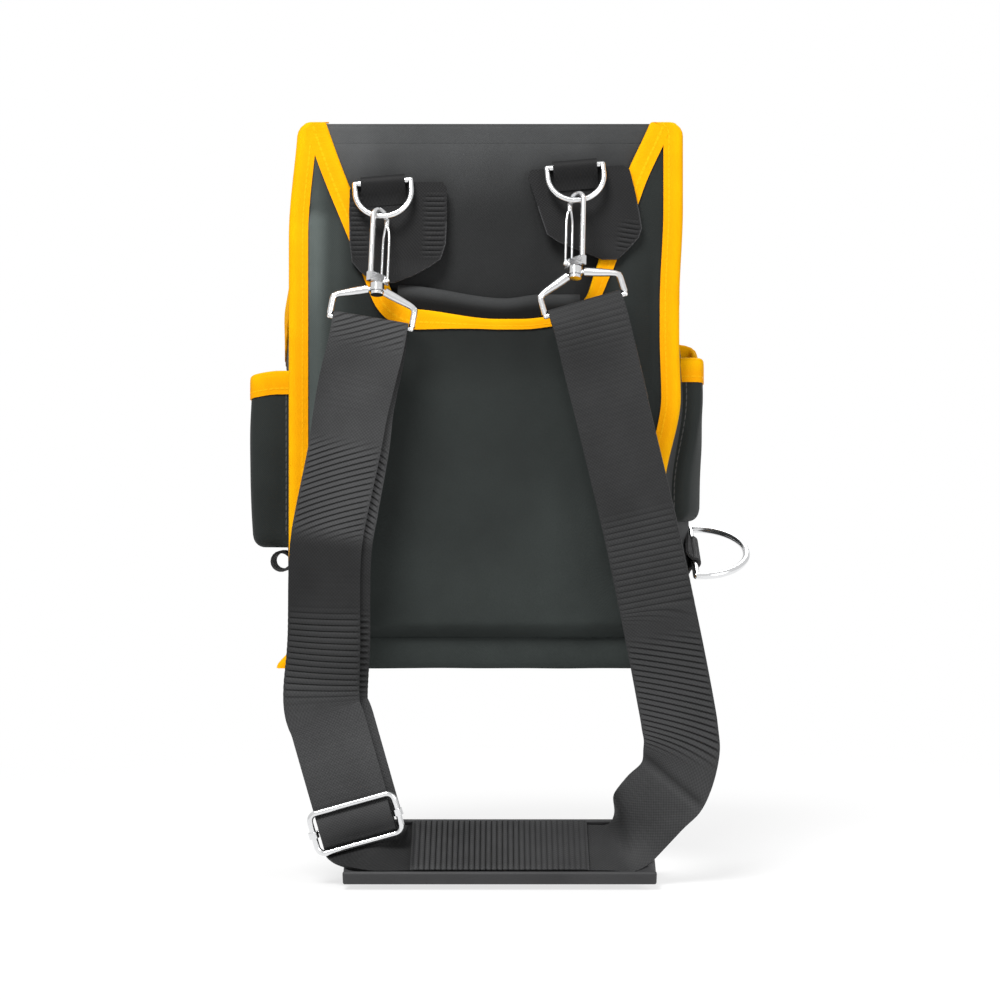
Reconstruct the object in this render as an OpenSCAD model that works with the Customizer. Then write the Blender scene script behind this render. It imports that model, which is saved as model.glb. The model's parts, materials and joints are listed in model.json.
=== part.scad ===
// Garden tool bag with a clip-on shoulder strap, hung by its top hem and seen from the rear.
// Lengths are in millimetres. X runs left to right from the rear, Y from the rear to the front,
// Z up. The origin is the middle of the top hem of the back panel.

/* [Back panel] */
// Width of the back panel
panel_w = 250; // [230:1:270]
// Height of the back panel
panel_h = 355; // [340:1:390]
// Thickness of the outer cloth and foam
back_cloth_t = 3; // [2:0.1:4]
// Thickness of the stiff board inside the panel
back_board_t = 1.6; // [1:0.1:2.4]
// Thickness of the lining
back_lining_t = 1.4; // [0.8:0.1:2]
// Height of the folded top hem
hem_h = 12; // [9:0.5:16]

/* [Rear pocket] */
// Thickness of the pocket cloth
pocket_cloth_t = 1.6; // [1.2:0.1:2.2]
// Clear depth inside the pocket
pocket_gap = 11; // [10:0.5:12]
// Drop from the top hem to the pocket mouth
mouth_drop = 121; // [115:1:127]
// Half width of the straight bottom of the mouth
mouth_half = 48; // [44:1:52]
// Rounding of the mouth corners
mouth_r = 20; // [14:1:24]
// Height of the flat hem under the pocket
pocket_hem_h = 20; // [16:1:26]

/* [Binding] */
// Width of the binding tape
binding_w = 13; // [11:0.5:15]
// Thickness of the binding tape
binding_t = 1.2; // [0.8:0.1:1.6]
// Width of the tape on the side pocket rims
rim_tape_w = 17; // [14:0.5:20]

/* [Compartment] */
// Depth from the back panel to the front corners
bag_d = 105; // [98:1:115]
// Height of the front wall
front_h = 222; // [212:1:235]
// Height of the side walls at the back panel
side_h = 258; // [245:1:270]
// Thickness of the cloth walls
wall_t = 2.4; // [1.8:0.1:3]
// Outward swell of each side wall
side_swell = 9; // [6:0.5:11]
// Outward swell of the front wall
front_swell = 10; // [7:0.5:13]
// Thickness of the base cloth
base_t = 2.6; // [2:0.1:3.4]
// Thickness of the base board
base_board_t = 2; // [1.4:0.1:3]

/* [Side pockets] */
// Reach of the left pocket beyond the side wall
left_reach = 30; // [26:0.5:34]
// Reach of the right pocket beyond the side wall
right_reach = 15; // [13:0.5:18]
// Height of the left pocket
left_pocket_h = 118; // [105:1:125]
// Height of the right pocket
right_pocket_h = 110; // [100:1:118]
// Length of the side pockets front to rear
side_pocket_len = 74; // [66:1:80]
// Thickness of the pocket cloth
side_cloth_t = 2; // [1.5:0.1:2.6]

/* [Front pockets] */
// Width of the tall front pocket
tall_w = 184; // [170:1:194]
// Height of the tall front pocket
tall_h = 150; // [138:1:160]
// Reach of the tall front pocket
tall_reach = 14; // [11:0.5:18]
// Height of the short front pockets
short_h = 96; // [84:1:106]
// Reach of the short front pockets
short_reach = 11; // [9:0.5:14]

/* [D-rings] */
// Wire diameter
ring_wire = 4; // [3.4:0.1:4.4]
// Width between the wire centres
ring_w = 36; // [35:0.5:39]
// Drop from the bar to the bottom of the bow, wire centres
ring_h = 25; // [24:0.25:26]
// Running clearance of the bar in its sleeve
sleeve_gap = 0.1; // [0.05:0.01:0.15]
// Thickness of the tab webbing
tab_t = 2.4; // [2:0.1:2.8]

/* [Hooks] */
// Diameter of the hook rod
hook_rod = 3.6; // [3.2:0.1:4]
// Clear width inside the hook
hook_eye = 9; // [8.8:0.1:10]
// Diameter of the swivel post
post_d = 4.6; // [4:0.1:5.2]
// Running clearance of the swivel post
post_gap = 0.06; // [0.03:0.01:0.1]
// Diameter of the gate pin
gate_pin_d = 1.6; // [1.2:0.1:1.8]
// Running clearance of the gate on its pin
gate_gap = 0.05; // [0.02:0.01:0.1]

/* [Strap] */
// Width of the webbing
strap_w = 48; // [46:0.5:50]
// Thickness of the webbing
strap_t = 2; // [1.6:0.1:2.2]
// Wire diameter of the strap bails
bail_wire = 3; // [2.6:0.1:3.4]
// Wire diameter of the slider frame
slider_wire = 3.8; // [3.2:0.1:4.2]
// Height of the slider frame, wire centres
slider_h = 26; // [24:0.5:30]

/* [Shoulder pad] */
// Length of the pad
pad_l = 196; // [186:1:198]
// Thickness of the pad
pad_t = 5; // [4:0.25:7]
// Length of the ribbed cover
cover_l = 112; // [100:1:116]
// Thickness of the ribbed cover
cover_t = 2.4; // [1.8:0.1:3]

/* [Hammer loop] */
// Wire diameter
loop_wire = 4.5; // [4:0.1:5]
// Width between the wire centres
loop_w = 64; // [60:1:68]
// Reach from the bar to the bow, wire centres
loop_reach = 36; // [35:0.5:40]

/* [Hidden] */
$fn = 48;
e = 0.01;
big = 400;
air = 0.3;
tape_ease = 0.05;
cloth_colour = [0.17, 0.18, 0.18];
tape_colour = [1, 0.72, 0.05];
strap_colour = [0.2, 0.2, 0.21];
steel_colour = [0.85, 0.86, 0.88];
board_colour = [0.35, 0.35, 0.36];

// Back panel layers, rear face to front face
back_t = back_cloth_t + back_board_t + back_lining_t;
rear_y = -back_t / 2;
front_y = back_t / 2;
base_z = -panel_h;
board_y = rear_y + back_cloth_t;
lining_y = board_y + back_board_t;
board_in = 16;

// Rear pocket, a shallow tray in front of the back panel
flange_y = rear_y - pocket_cloth_t;
tray_y = rear_y - pocket_gap - pocket_cloth_t;
tray_half = panel_w / 2 - binding_w;
tray_slope = 16;
tray_top = -hem_h - 4;
tray_base = base_z + pocket_hem_h;
mouth_lean = 46;
tray_full = 60;
tray_lean = atan2(pocket_gap + pocket_cloth_t - 0.2, mouth_drop + tray_full + tray_top);
tray_gap = 0.15;
lining_t = 0.8;

// Compartment plan: side walls and front wall are thin arcs
wall_x = panel_w / 2 - 5;
front_edge = front_y + bag_d;
side_r = bag_d * bag_d / 8 / side_swell + side_swell / 2;
side_cx = wall_x + side_swell - side_r;
side_cy = front_y + bag_d / 2;
side_x = wall_x + side_swell;
face_r = wall_x * wall_x / 2 / front_swell + front_swell / 2;
face_cy = front_edge + front_swell - face_r;
face_y = front_edge + front_swell + wall_t;
wall_z = base_z + base_t;
rim_front_z = base_z + front_h;
rim_side_z = base_z + side_h;
rim_slope = atan2(rim_side_z - rim_front_z, bag_d);

// Side pockets
left_top = -159;
right_top = -150;
pocket_r = 9;

// Front pockets
tall_y = face_y + tall_reach;
short_y = tall_y + air + short_reach;
short_w = tall_w / 2 - 10;
front_r = 8;

// D-ring axis, tilted across the back
ring_r = ring_wire / 2;
sleeve_r = ring_r + sleeve_gap + tab_t;
left_bar_z = -40.3;
patch_y = rear_y - 0.2 - binding_t - air;
bar_y = patch_y + (left_bar_z - tray_top - binding_t) * tan(tray_lean) - tab_t - 2 * air - ring_r;
left_bar = [-69.5, bar_y, left_bar_z];
right_bar = [54.6, bar_y, -30.1];
ring_axis = unit(right_bar - left_bar);
ring_lean = 22;
ring_dn = cos(ring_lean) * [ring_axis[2], 0, -ring_axis[0]] + sin(ring_lean) * [0, -1, 0];
sleeve_l = ring_w - ring_wire - 1.4;

// Hooks hang from the bows; the post runs down into the boss of the bail
rod_r = hook_rod / 2;
hook_up = unit([0.03, 0.259, 0.965]);
hook_len = 49;
crown_r = (hook_eye + hook_rod) / 2;
crown_z = hook_len + ring_r + air - hook_eye / 2;
hook_turn = 42;
boss_r = 4.6;
boss_h = 5;
block_z = boss_h / 2 + 0.5;
block_h = 6;
pin_z = block_z + block_h / 2;
nose_z = crown_z - 4.5;
gate_w = 3;
gate_cheek = 0.95;
left_boss = left_bar + ring_h * ring_dn + [-3, 0, 0.25] - hook_len * hook_up;
right_boss = right_bar + ring_h * ring_dn + [-1, 0, 0.5] - hook_len * hook_up;

// Bails
bail_r = bail_wire / 2;
bail_half = strap_w / 2 + 0.8 + bail_r;
bail_drop = 24;
shoulder_drop = 10;
bail_lean = 15;
left_roll = -9.7;
right_roll = 16;
left_across = [cos(left_roll), 0, sin(left_roll)];
right_across = [cos(right_roll), 0, sin(right_roll)];
left_down = cos(bail_lean) * [sin(left_roll), 0, -cos(left_roll)] + sin(bail_lean) * [0, -1, 0];
right_down = cos(bail_lean) * [sin(right_roll), 0, -cos(right_roll)] + sin(bail_lean) * [0, -1, 0];
left_hold = left_boss + bail_drop * left_down;
right_hold = right_boss + bail_drop * right_down;

// Webbing: a band that follows hand-picked points, each with the direction of its inner edge
wrap = bail_r + air + strap_t / 2;
left_out = cross(left_down, left_across);
right_out = cross(right_down, right_across);
slide_dir = unit([0.269, 0.0535, -0.961]);
slide_top = [-102, -48, -388];
slide_in = unit([0.961, 0, 0.269]);
slider_at = slide_top + 64 * slide_dir;
pad_in = [0, 0.883, 0.469];
pad_up = [0, -0.469, 0.883];
pad_mid = [6, -40, -466.5];
left_route = [
    key(left_hold + wrap * left_out, left_across),
    key(left_hold + wrap * left_out + 18 * left_down, left_across),
    key([-88, -49.5, -185], [1, 0.05, -0.2]),
    key([-93, -51.5, -213], [1, 0.1, -0.15]),
    key([-100, -54.5, -251], [1, 0.12, -0.12]),
    key([-104, -56, -271], [1, 0.12, -0.05]),
    key([-105.6, -55.5, -293], [1, 0.1, 0]),
    key([-106.4, -52.5, -334], [1, 0.05, 0.06]),
    key(slide_top - 16 * slide_dir, slide_in),
    key(slide_top, slide_in),
    key(slide_top + 20 * slide_dir, slide_in),
    key(slide_top + 40 * slide_dir, slide_in),
    key(slide_top + 60 * slide_dir, slide_in),
    key(slide_top + 80 * slide_dir, slide_in)
];
// The webbing fans round under the slider and lies down on the pad
fan_route = [
    key(slide_top + 80 * slide_dir, slide_in),
    key([-76.5, -45, -465], [0.85, 0.21, 0.36]),
    key([-70.5, -45, -465.3], [0.64, 0.5, 0.41]),
    key([-63, -43.2, -466], [0.375, 0.72, 0.46]),
    key([-51.5, -40.4, -466.5], [0.14, 0.87, 0.47]),
    key([-38, -40, -466.5], pad_in),
    key([-16, -40, -466.5], pad_in),
    key(pad_mid, pad_in)
];
right_route = [
    key(pad_mid, pad_in),
    key([26, -40, -466.5], pad_in),
    key([46, -40, -466.5], pad_in),
    key([64, -40, -466.5], pad_in),
    key([78, -40.5, -465.8], [-0.12, 0.88, 0.47]),
    key([91, -42, -462.5], [-0.42, 0.8, 0.42]),
    key([101.5, -45, -452.5], [-0.72, 0.62, 0.28]),
    key([109, -48.5, -435.5], [-0.9, 0.42, 0.05]),
    key([116.5, -51, -413], [-0.97, 0.22, -0.05]),
    key([119.5, -51.5, -393.5], [-1, 0.1, 0]),
    key([117, -52, -371.5], [-1, 0.04, -0.1]),
    key([109.5, -52, -331], [-1, 0, -0.2]),
    key([97, -50.5, -267], [-1, 0, -0.2]),
    key([80.5, -48.5, -198], [-1, 0, -0.22]),
    key([71.5, -47.2, -163], [-1, 0, -0.26]),
    key(right_hold + wrap * right_out + 14 * right_down, -right_across),
    key(right_hold + wrap * right_out, -right_across)
];
fine = 4;
left_run = squared(spline(left_route, fine));
fan_run = spline(fan_route, fine);
right_run = squared(spline(right_route, fine));
return_count = 12 * fine + 1;
tail_count = 3 * fine;

// Slider, in front of the webbing, with its bar behind
sw_r = slider_wire / 2;
bar_r = 1.5;
slider_half = strap_w / 2 + 1.6 + sw_r;
slider_r = 5;
slider_out = cross(slide_dir, slide_in);
frame_n = strap_t / 2 + air + sw_r;
bar_n = -strap_t / 2 - air - bar_r;

// Shoulder pad
bed_half = strap_w / 2 + 2;
lip_w = 3;
lip_h = 4.4;
bed_n = -strap_t / 2 - 1;
cover_n = strap_t / 2 + 1;
cover_x = 0;

// Hammer loop, below the right side pocket
loop_r = loop_wire / 2;
loop_sleeve_r = loop_r + sleeve_gap + tab_t;
loop_tilt = 28;
loop_below = 21;
loop_at = [side_x + wall_t + air + loop_sleeve_r, side_cy, right_top - right_pocket_h - loop_below];
loop_axis = [0, cos(loop_tilt), sin(loop_tilt)];
loop_sleeve_l = 30;
tool_in_r = 5;
tool_out_r = tool_in_r + tab_t;
tool_at = [-side_x - wall_t - air - tool_out_r, side_cy - 14, left_top - left_pocket_h - tool_out_r - 2];

function unit(v) = v / norm(v);
function key(p, w) = concat(p, w);
function place_of(k) = [k[0], k[1], k[2]];
function inner_of(k) = [k[3], k[4], k[5]];
function blend4(a, b, c, d, t) = 0.5 * (2 * b + (c - a) * t + (2 * a - 5 * b + 4 * c - d) * t * t
    + (3 * b - a - 3 * c + d) * t * t * t);
function spline(r, n) = concat(
    [for (i = [0 : len(r) - 2]) for (k = [0 : n - 1])
        blend4(r[max(i - 1, 0)], r[i], r[i + 1], r[min(i + 2, len(r) - 1)], k / n)],
    [r[len(r) - 1]]);
function along(s, i) = unit(place_of(s[min(i + 1, len(s) - 1)]) - place_of(s[max(i - 1, 0)]));
function across(s, i) = unit(inner_of(s[i]) - (inner_of(s[i]) * along(s, i)) * along(s, i));
function facing(s, i) = cross(along(s, i), across(s, i));
function squared(s) = [for (i = [0 : len(s) - 1]) key(place_of(s[i]), across(s, i))];
// The same band set behind the run by one wrap round the bail wire, eased aside by shift
function behind(s, i, shift) = key(
    place_of(s[i]) - 2 * wrap * facing(s, i) + shift * across(s, i), across(s, i));
// Half turn of webbing over the bail wire, from the rear of the wire to the face
function turn(hold, out, up, w, n) = [for (k = [1 : n - 1])
    key(hold + wrap * (-cos(180 * k / n) * out + sin(180 * k / n) * up), w)];

// A flat outline drawn in X and Z, given thickness t from y towards the front
module upright(y, t) {
    translate([0, y + t, 0])
        rotate([90, 0, 0])
            linear_extrude(t)
                children();
}

// Places children in a frame of three unit vectors
module framed(o, x, y, z) {
    multmatrix([
        [x[0], y[0], z[0], o[0]],
        [x[1], y[1], z[1], o[1]],
        [x[2], y[2], z[2], o[2]],
        [0, 0, 0, 1]
    ])
        children();
}

module rod(a, b, r) {
    v = b - a;
    translate(a)
        rotate([0, acos(v[2] / norm(v)), atan2(v[1], v[0])])
            cylinder(r = r, h = norm(v));
}

module rounded(x0, y0, x1, y1, r) {
    translate([x0 + r, y0])
        square([x1 - x0 - 2 * r, y1 - y0]);
    translate([x0, y0 + r])
        square([x1 - x0, y1 - y0 - 2 * r]);
    for (x = [x0 + r, x1 - r], y = [y0 + r, y1 - r])
        translate([x, y])
            circle(r);
}

// A band of webbing through the stations of a run
module band(s, w, t) {
    n = len(s);
    pts = [for (i = [0 : n - 1]) for (c = [[-1, -1], [1, -1], [1, 1], [-1, 1]])
        place_of(s[i]) + c[0] * w / 2 * inner_of(s[i]) + c[1] * t / 2 * unit(facing(s, i))];
    lower = [for (i = [0 : n - 2]) for (k = [0 : 3])
        [4 * i + k, 4 * i + (k + 1) % 4, 4 * i + 4 + (k + 1) % 4]];
    upper = [for (i = [0 : n - 2]) for (k = [0 : 3])
        [4 * i + k, 4 * i + 4 + (k + 1) % 4, 4 * i + 4 + k]];
    ends = [[2, 1, 0], [3, 2, 0], [4 * n - 4, 4 * n - 3, 4 * n - 2], [4 * n - 4, 4 * n - 2, 4 * n - 1]];
    polyhedron(pts, concat(lower, upper, ends));
}

// A bar along X with a round bow below it
module bow(w, h, r) {
    rotate([0, 90, 0])
        translate([0, 0, -w / 2])
            cylinder(r = r, h = w);
    for (x = [-w / 2, w / 2]) {
        translate([x, 0, 0])
            sphere(r);
        translate([x, 0, -h + w / 2])
            cylinder(r = r, h = h - w / 2);
    }
    translate([0, 0, -h + w / 2])
        rotate([-90, 0, 0])
            rotate_extrude(angle = 180)
                translate([w / 2, 0])
                    circle(r);
}

// Back panel
module back_panel() {
    color(cloth_colour)
        upright(rear_y, back_cloth_t)
            translate([-panel_w / 2, base_z])
                square([panel_w, panel_h - hem_h]);
}

module back_board() {
    color(board_colour)
        upright(board_y, back_board_t)
            rounded(-panel_w / 2 + board_in, base_z + base_t + board_in, panel_w / 2 - board_in, -hem_h, 8);
}

module back_lining() {
    color(cloth_colour)
        difference() {
            upright(board_y, back_board_t + back_lining_t)
                translate([-panel_w / 2, base_z])
                    square([panel_w, panel_h - hem_h]);
            upright(board_y - e, back_board_t + e)
                rounded(-panel_w / 2 + board_in, base_z + base_t + board_in, panel_w / 2 - board_in, -hem_h, 8);
            upright(board_y - e, back_board_t + e)
                translate([-panel_w / 2 + board_in, -hem_h - 8])
                    square([panel_w - 2 * board_in, 9]);
        }
}

// Top hem, the edge that is gripped to hang the bag
module top_hem() {
    color(cloth_colour)
        upright(rear_y, back_t)
            translate([-panel_w / 2 + binding_w, -hem_h])
                square([panel_w - 2 * binding_w, hem_h]);
}

// Outline of the pocket mouth, grown by d
module mouth(d) {
    hull() {
        for (s = [-1, 1]) {
            translate([s * mouth_half, mouth_r - mouth_drop])
                circle(mouth_r + d, $fn = 32);
            translate([s * (mouth_half + mouth_lean), mouth_r])
                circle(mouth_r + d, $fn = 32);
        }
    }
}

// Solid block of the pocket tray, grown by d on its face and sides
module tray(d) {
    hull() {
        upright(rear_y - 0.2 - d, 0.2 + e)
            translate([-tray_half - d, tray_base - d])
                square([2 * tray_half + 2 * d, tray_top - tray_base + 2 * d]);
        upright(tray_y - d, e)
            translate([-tray_half + tray_slope - d, tray_base + tray_slope - d])
                square([2 * tray_half - 2 * tray_slope + 2 * d, -mouth_drop - tray_full - tray_base - tray_slope + 2 * d]);
    }
}

module tray_shell(d) {
    difference() {
        tray(d);
        tray(-pocket_cloth_t);
        upright(rear_y, 5)
            square([big, 3 * big], center = true);
    }
}

module rear_pocket() {
    color(cloth_colour)
        difference() {
            union() {
                tray_shell(0);
                difference() {
                    upright(flange_y, pocket_cloth_t)
                        translate([-panel_w / 2, base_z])
                            square([panel_w, panel_h - hem_h]);
                    tray(0);
                }
            }
            upright(-50, 100)
                mouth(binding_t);
        }
}

module rear_pocket_lining() {
    color(cloth_colour)
        translate([0, tray_y + pocket_cloth_t + tray_gap, -mouth_drop - tray_full])
            rotate([-tray_lean, 0, 0])
                upright(0, lining_t)
                    polygon([
                        [-mouth_half - 8, 6],
                        [mouth_half + 8, 6],
                        [mouth_half + 8, tray_full + 1],
                        [mouth_half - 6, tray_full + 3],
                        [10, tray_full + 6],
                        [-30, tray_full + 10],
                        [-mouth_half - 8, tray_full + 14]
                    ]);
}

// Outside of the pocket sheet, raised by d
module pocket_outside(d) {
    tray(d);
    upright(flange_y - d, pocket_cloth_t + d)
        translate([-panel_w / 2, base_z])
            square([panel_w, panel_h - hem_h]);
}

module rear_mouth_binding() {
    color(tape_colour)
        difference() {
            intersection() {
                pocket_outside(binding_t);
                upright(-50, 50 + rear_y)
                    difference() {
                        mouth(binding_w);
                        mouth(0);
                    }
                upright(-50, 100)
                    translate([-tray_half + air, base_z])
                        square([2 * tray_half - 2 * air, panel_h - hem_h - air]);
            }
            tray(-pocket_cloth_t);
            difference() {
                pocket_outside(tape_ease);
                upright(-50, 100)
                    mouth(binding_t - tape_ease);
            }
        }
}

// Tape folded round one long edge of the bag, with a loose lower end where flare is given
module edge_binding(flare) {
    color(tape_colour)
        difference() {
            union() {
                translate([-panel_w / 2 - binding_t, flange_y - binding_t, base_z])
                    cube([binding_w + binding_t, back_t + pocket_cloth_t + 2 * binding_t, panel_h]);
                if (flare > 0)
                    upright(flange_y - binding_t, binding_t)
                        polygon([
                            [-panel_w / 2, base_z],
                            [-panel_w / 2, base_z + 12],
                            [-panel_w / 2 - flare, base_z + 3],
                            [-panel_w / 2 - flare, base_z]
                        ]);
            }
            translate([-panel_w / 2, flange_y, base_z - 1])
                cube([panel_w, back_t + pocket_cloth_t, panel_h - hem_h + 1]);
            translate([-wall_x - air, front_y - 1, base_z - 1])
                cube([panel_w, 10, panel_h + 2]);
        }
}

module left_edge_binding() {
    edge_binding(7);
}

module right_edge_binding() {
    mirror([1, 0, 0])
        edge_binding(0);
}

// Compartment walls
module side_disc(r) {
    translate([side_cx, side_cy])
        circle(r, $fn = 180);
}

module face_disc(r) {
    translate([0, face_cy])
        circle(r, $fn = 360);
}

// Space under the sloping rim, lowered by d
module under_rim(d) {
    translate([0, front_y, rim_side_z - d])
        rotate([-rim_slope, 0, 0])
            translate([-big, -big, -3 * big])
                cube([2 * big, 2 * big, 3 * big]);
}

module side_strip(grow) {
    intersection() {
        difference() {
            side_disc(side_r + wall_t + grow);
            side_disc(side_r - grow);
        }
        translate([wall_x - 20, front_y + binding_t + air])
            square([60, bag_d - binding_t - 2 * air]);
    }
}

module side_wall() {
    color(cloth_colour)
        intersection() {
            translate([0, 0, wall_z])
                linear_extrude(panel_h)
                    side_strip(0);
            under_rim(binding_t);
        }
}

module right_side_wall() {
    side_wall();
}

module left_side_wall() {
    mirror([1, 0, 0])
        side_wall();
}

module rim_binding() {
    color(tape_colour)
        difference() {
            intersection() {
                translate([0, 0, wall_z])
                    linear_extrude(panel_h)
                        side_strip(binding_t);
                under_rim(0);
            }
            under_rim(binding_w);
            intersection() {
                translate([0, 0, wall_z])
                    linear_extrude(panel_h)
                        side_strip(tape_ease);
                under_rim(binding_t - tape_ease);
            }
        }
}

module right_rim_binding() {
    rim_binding();
}

module left_rim_binding() {
    mirror([1, 0, 0])
        rim_binding();
}

module front_strip(grow) {
    intersection() {
        difference() {
            face_disc(face_r + wall_t + grow);
            face_disc(face_r - grow);
        }
        translate([-wall_x, front_edge - grow])
            square([2 * wall_x, 60]);
    }
}

module front_wall() {
    color(cloth_colour)
        translate([0, 0, wall_z])
            linear_extrude(rim_front_z - binding_t - wall_z)
                front_strip(0);
}

module front_rim_binding() {
    color(tape_colour)
        difference() {
            translate([0, 0, rim_front_z - binding_w])
                linear_extrude(binding_w)
                    intersection() {
                        front_strip(binding_t);
                        translate([-wall_x + 5, 0])
                            square([2 * wall_x - 10, big]);
                    }
            translate([0, 0, wall_z])
                linear_extrude(rim_front_z - binding_t + tape_ease - wall_z)
                    front_strip(tape_ease);
        }
}

module plan(grow) {
    intersection() {
        side_disc(side_r + grow);
        mirror([1, 0])
            side_disc(side_r + grow);
        face_disc(face_r + grow);
        translate([-big, front_y])
            square([2 * big, big]);
    }
}

module base_panel() {
    color(cloth_colour)
        translate([0, 0, base_z])
            linear_extrude(base_t)
                intersection() {
                    plan(wall_t);
                    translate([-wall_x, 0])
                        square([2 * wall_x, big]);
                }
}

module base_board() {
    color(board_colour)
        translate([0, 0, wall_z])
            linear_extrude(base_board_t)
                intersection() {
                    plan(-1.5);
                    translate([-wall_x + 3, front_y + 1.5])
                        square([2 * wall_x - 6, big]);
                }
}

// Side pockets, drawn for the right
module pocket_plan(reach, inset) {
    difference() {
        rounded(wall_x - 40, side_cy - side_pocket_len / 2 + inset, side_x + wall_t + reach - inset,
            side_cy + side_pocket_len / 2 - inset, pocket_r - inset);
        side_disc(side_r + wall_t + air);
    }
}

module side_pocket(reach, top, h) {
    color(cloth_colour)
        translate([0, 0, top - h])
            difference() {
                linear_extrude(h - binding_t)
                    pocket_plan(reach, 0);
                translate([0, 0, side_cloth_t])
                    linear_extrude(h)
                        rounded(wall_x - 60, side_cy - side_pocket_len / 2 + side_cloth_t,
                            side_x + wall_t + reach - side_cloth_t,
                            side_cy + side_pocket_len / 2 - side_cloth_t, pocket_r - side_cloth_t);
            }
}

module pocket_binding(reach, top, h) {
    color(tape_colour)
        difference() {
            translate([0, 0, top - rim_tape_w])
                linear_extrude(rim_tape_w)
                    difference() {
                        pocket_plan(reach, -binding_t);
                        rounded(wall_x - 60, side_cy - side_pocket_len / 2 + side_cloth_t + binding_t,
                            side_x + wall_t + reach - side_cloth_t - binding_t,
                            side_cy + side_pocket_len / 2 - side_cloth_t - binding_t,
                            pocket_r - side_cloth_t - binding_t);
                    }
            side_pocket(reach, top, h);
        }
}

module left_side_pocket() {
    mirror([1, 0, 0])
        side_pocket(left_reach, left_top, left_pocket_h);
}

module left_pocket_binding() {
    mirror([1, 0, 0])
        pocket_binding(left_reach, left_top, left_pocket_h);
}

module right_side_pocket() {
    side_pocket(right_reach, right_top, right_pocket_h);
}

module right_pocket_binding() {
    pocket_binding(right_reach, right_top, right_pocket_h);
}

// Front pockets
module tall_front_pocket() {
    color(cloth_colour)
        difference() {
            translate([0, 0, wall_z])
                linear_extrude(tall_h - binding_t)
                    difference() {
                        rounded(-tall_w / 2, front_edge - 20, tall_w / 2, tall_y, front_r);
                        face_disc(face_r + wall_t + air);
                    }
            translate([0, 0, wall_z + side_cloth_t])
                linear_extrude(tall_h)
                    rounded(-tall_w / 2 + side_cloth_t, front_edge - 40, tall_w / 2 - side_cloth_t,
                        tall_y - side_cloth_t, front_r - side_cloth_t);
        }
}

module tall_pocket_binding() {
    color(tape_colour)
        difference() {
            translate([0, 0, wall_z + tall_h - binding_w])
                linear_extrude(binding_w)
                    difference() {
                        rounded(-tall_w / 2 - binding_t, front_edge - 20, tall_w / 2 + binding_t,
                            tall_y + binding_t, front_r + binding_t);
                        rounded(-tall_w / 2 + side_cloth_t + binding_t, front_edge - 40,
                            tall_w / 2 - side_cloth_t - binding_t, tall_y - side_cloth_t - binding_t,
                            front_r - side_cloth_t - binding_t);
                        face_disc(face_r + wall_t + air);
                    }
            tall_front_pocket();
        }
}

// Open-backed tray that is sewn to the face of the tall pocket
module short_ring(s, grow, inset) {
    difference() {
        translate([s * (short_w / 2 + 6), 0])
            rounded(-short_w / 2 - grow + inset, tall_y - 20, short_w / 2 + grow - inset,
                short_y + grow - inset, front_r + grow - inset);
        translate([-big, tall_y - big + air])
            square([2 * big, big]);
    }
}

module short_pocket(s) {
    color(cloth_colour)
        translate([0, 0, wall_z])
            difference() {
                linear_extrude(short_h - binding_t)
                    short_ring(s, 0, 0);
                translate([0, -1, side_cloth_t])
                    linear_extrude(short_h)
                        short_ring(s, 0, side_cloth_t);
                translate([0, 0, side_cloth_t])
                    linear_extrude(short_h)
                        short_ring(s, 0, side_cloth_t);
            }
}

module left_short_pocket() {
    short_pocket(-1);
}

module right_short_pocket() {
    short_pocket(1);
}

module short_pocket_bindings() {
    for (s = [-1, 1])
        color(tape_colour)
            difference() {
                translate([0, 0, wall_z + short_h - binding_w])
                    linear_extrude(binding_w)
                        short_ring(s, binding_t, 0);
                translate([0, 0, wall_z])
                    linear_extrude(short_h + 1)
                        short_ring(s, 0, side_cloth_t + binding_t);
                translate([0, -1, wall_z])
                    linear_extrude(short_h + 1)
                        short_ring(s, 0, side_cloth_t + binding_t);
                short_pocket(s);
            }
}

// Webbing loop under the left side pocket, for a small tool
module left_tool_loop() {
    color(strap_colour)
        difference() {
            union() {
                translate(tool_at)
                    rotate([90, 0, 0])
                        cylinder(r = tool_out_r, h = 26, center = true);
                translate([tool_at[0], tool_at[1] - 13, tool_at[2]])
                    cube([tool_out_r, 26, tool_out_r]);
            }
            translate(tool_at)
                rotate([90, 0, 0])
                    cylinder(r = tool_in_r, h = 40, center = true);
            mirror([1, 0, 0])
                translate([0, 0, -big])
                    linear_extrude(big)
                        side_disc(side_r + wall_t + air);
        }
}

// Hammer loop and the sleeve it swings in
module hammer_loop_holder() {
    color(strap_colour)
        difference() {
            union() {
                framed(loop_at, loop_axis, cross([1, 0, 0], loop_axis), [1, 0, 0])
                    rotate([0, 90, 0])
                        cylinder(r = loop_sleeve_r, h = loop_sleeve_l, center = true);
                framed(loop_at, [1, 0, 0], loop_axis, cross([1, 0, 0], loop_axis))
                    translate([-loop_sleeve_r - 6, -loop_sleeve_l / 2, -loop_sleeve_r])
                        cube([loop_sleeve_r + 6, loop_sleeve_l, loop_sleeve_r * 2]);
            }
            framed(loop_at, loop_axis, cross([1, 0, 0], loop_axis), [1, 0, 0])
                rotate([0, 90, 0])
                    cylinder(r = loop_r + sleeve_gap, h = 2 * loop_sleeve_l, center = true);
            translate([0, 0, -big])
                linear_extrude(big)
                    side_disc(side_r + wall_t + air);
        }
}

module hammer_loop() {
    color(steel_colour)
        framed(loop_at, loop_axis, cross([-1, 0, 0], loop_axis), [-1, 0, 0])
            bow(loop_w, loop_reach, loop_r);
}

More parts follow.
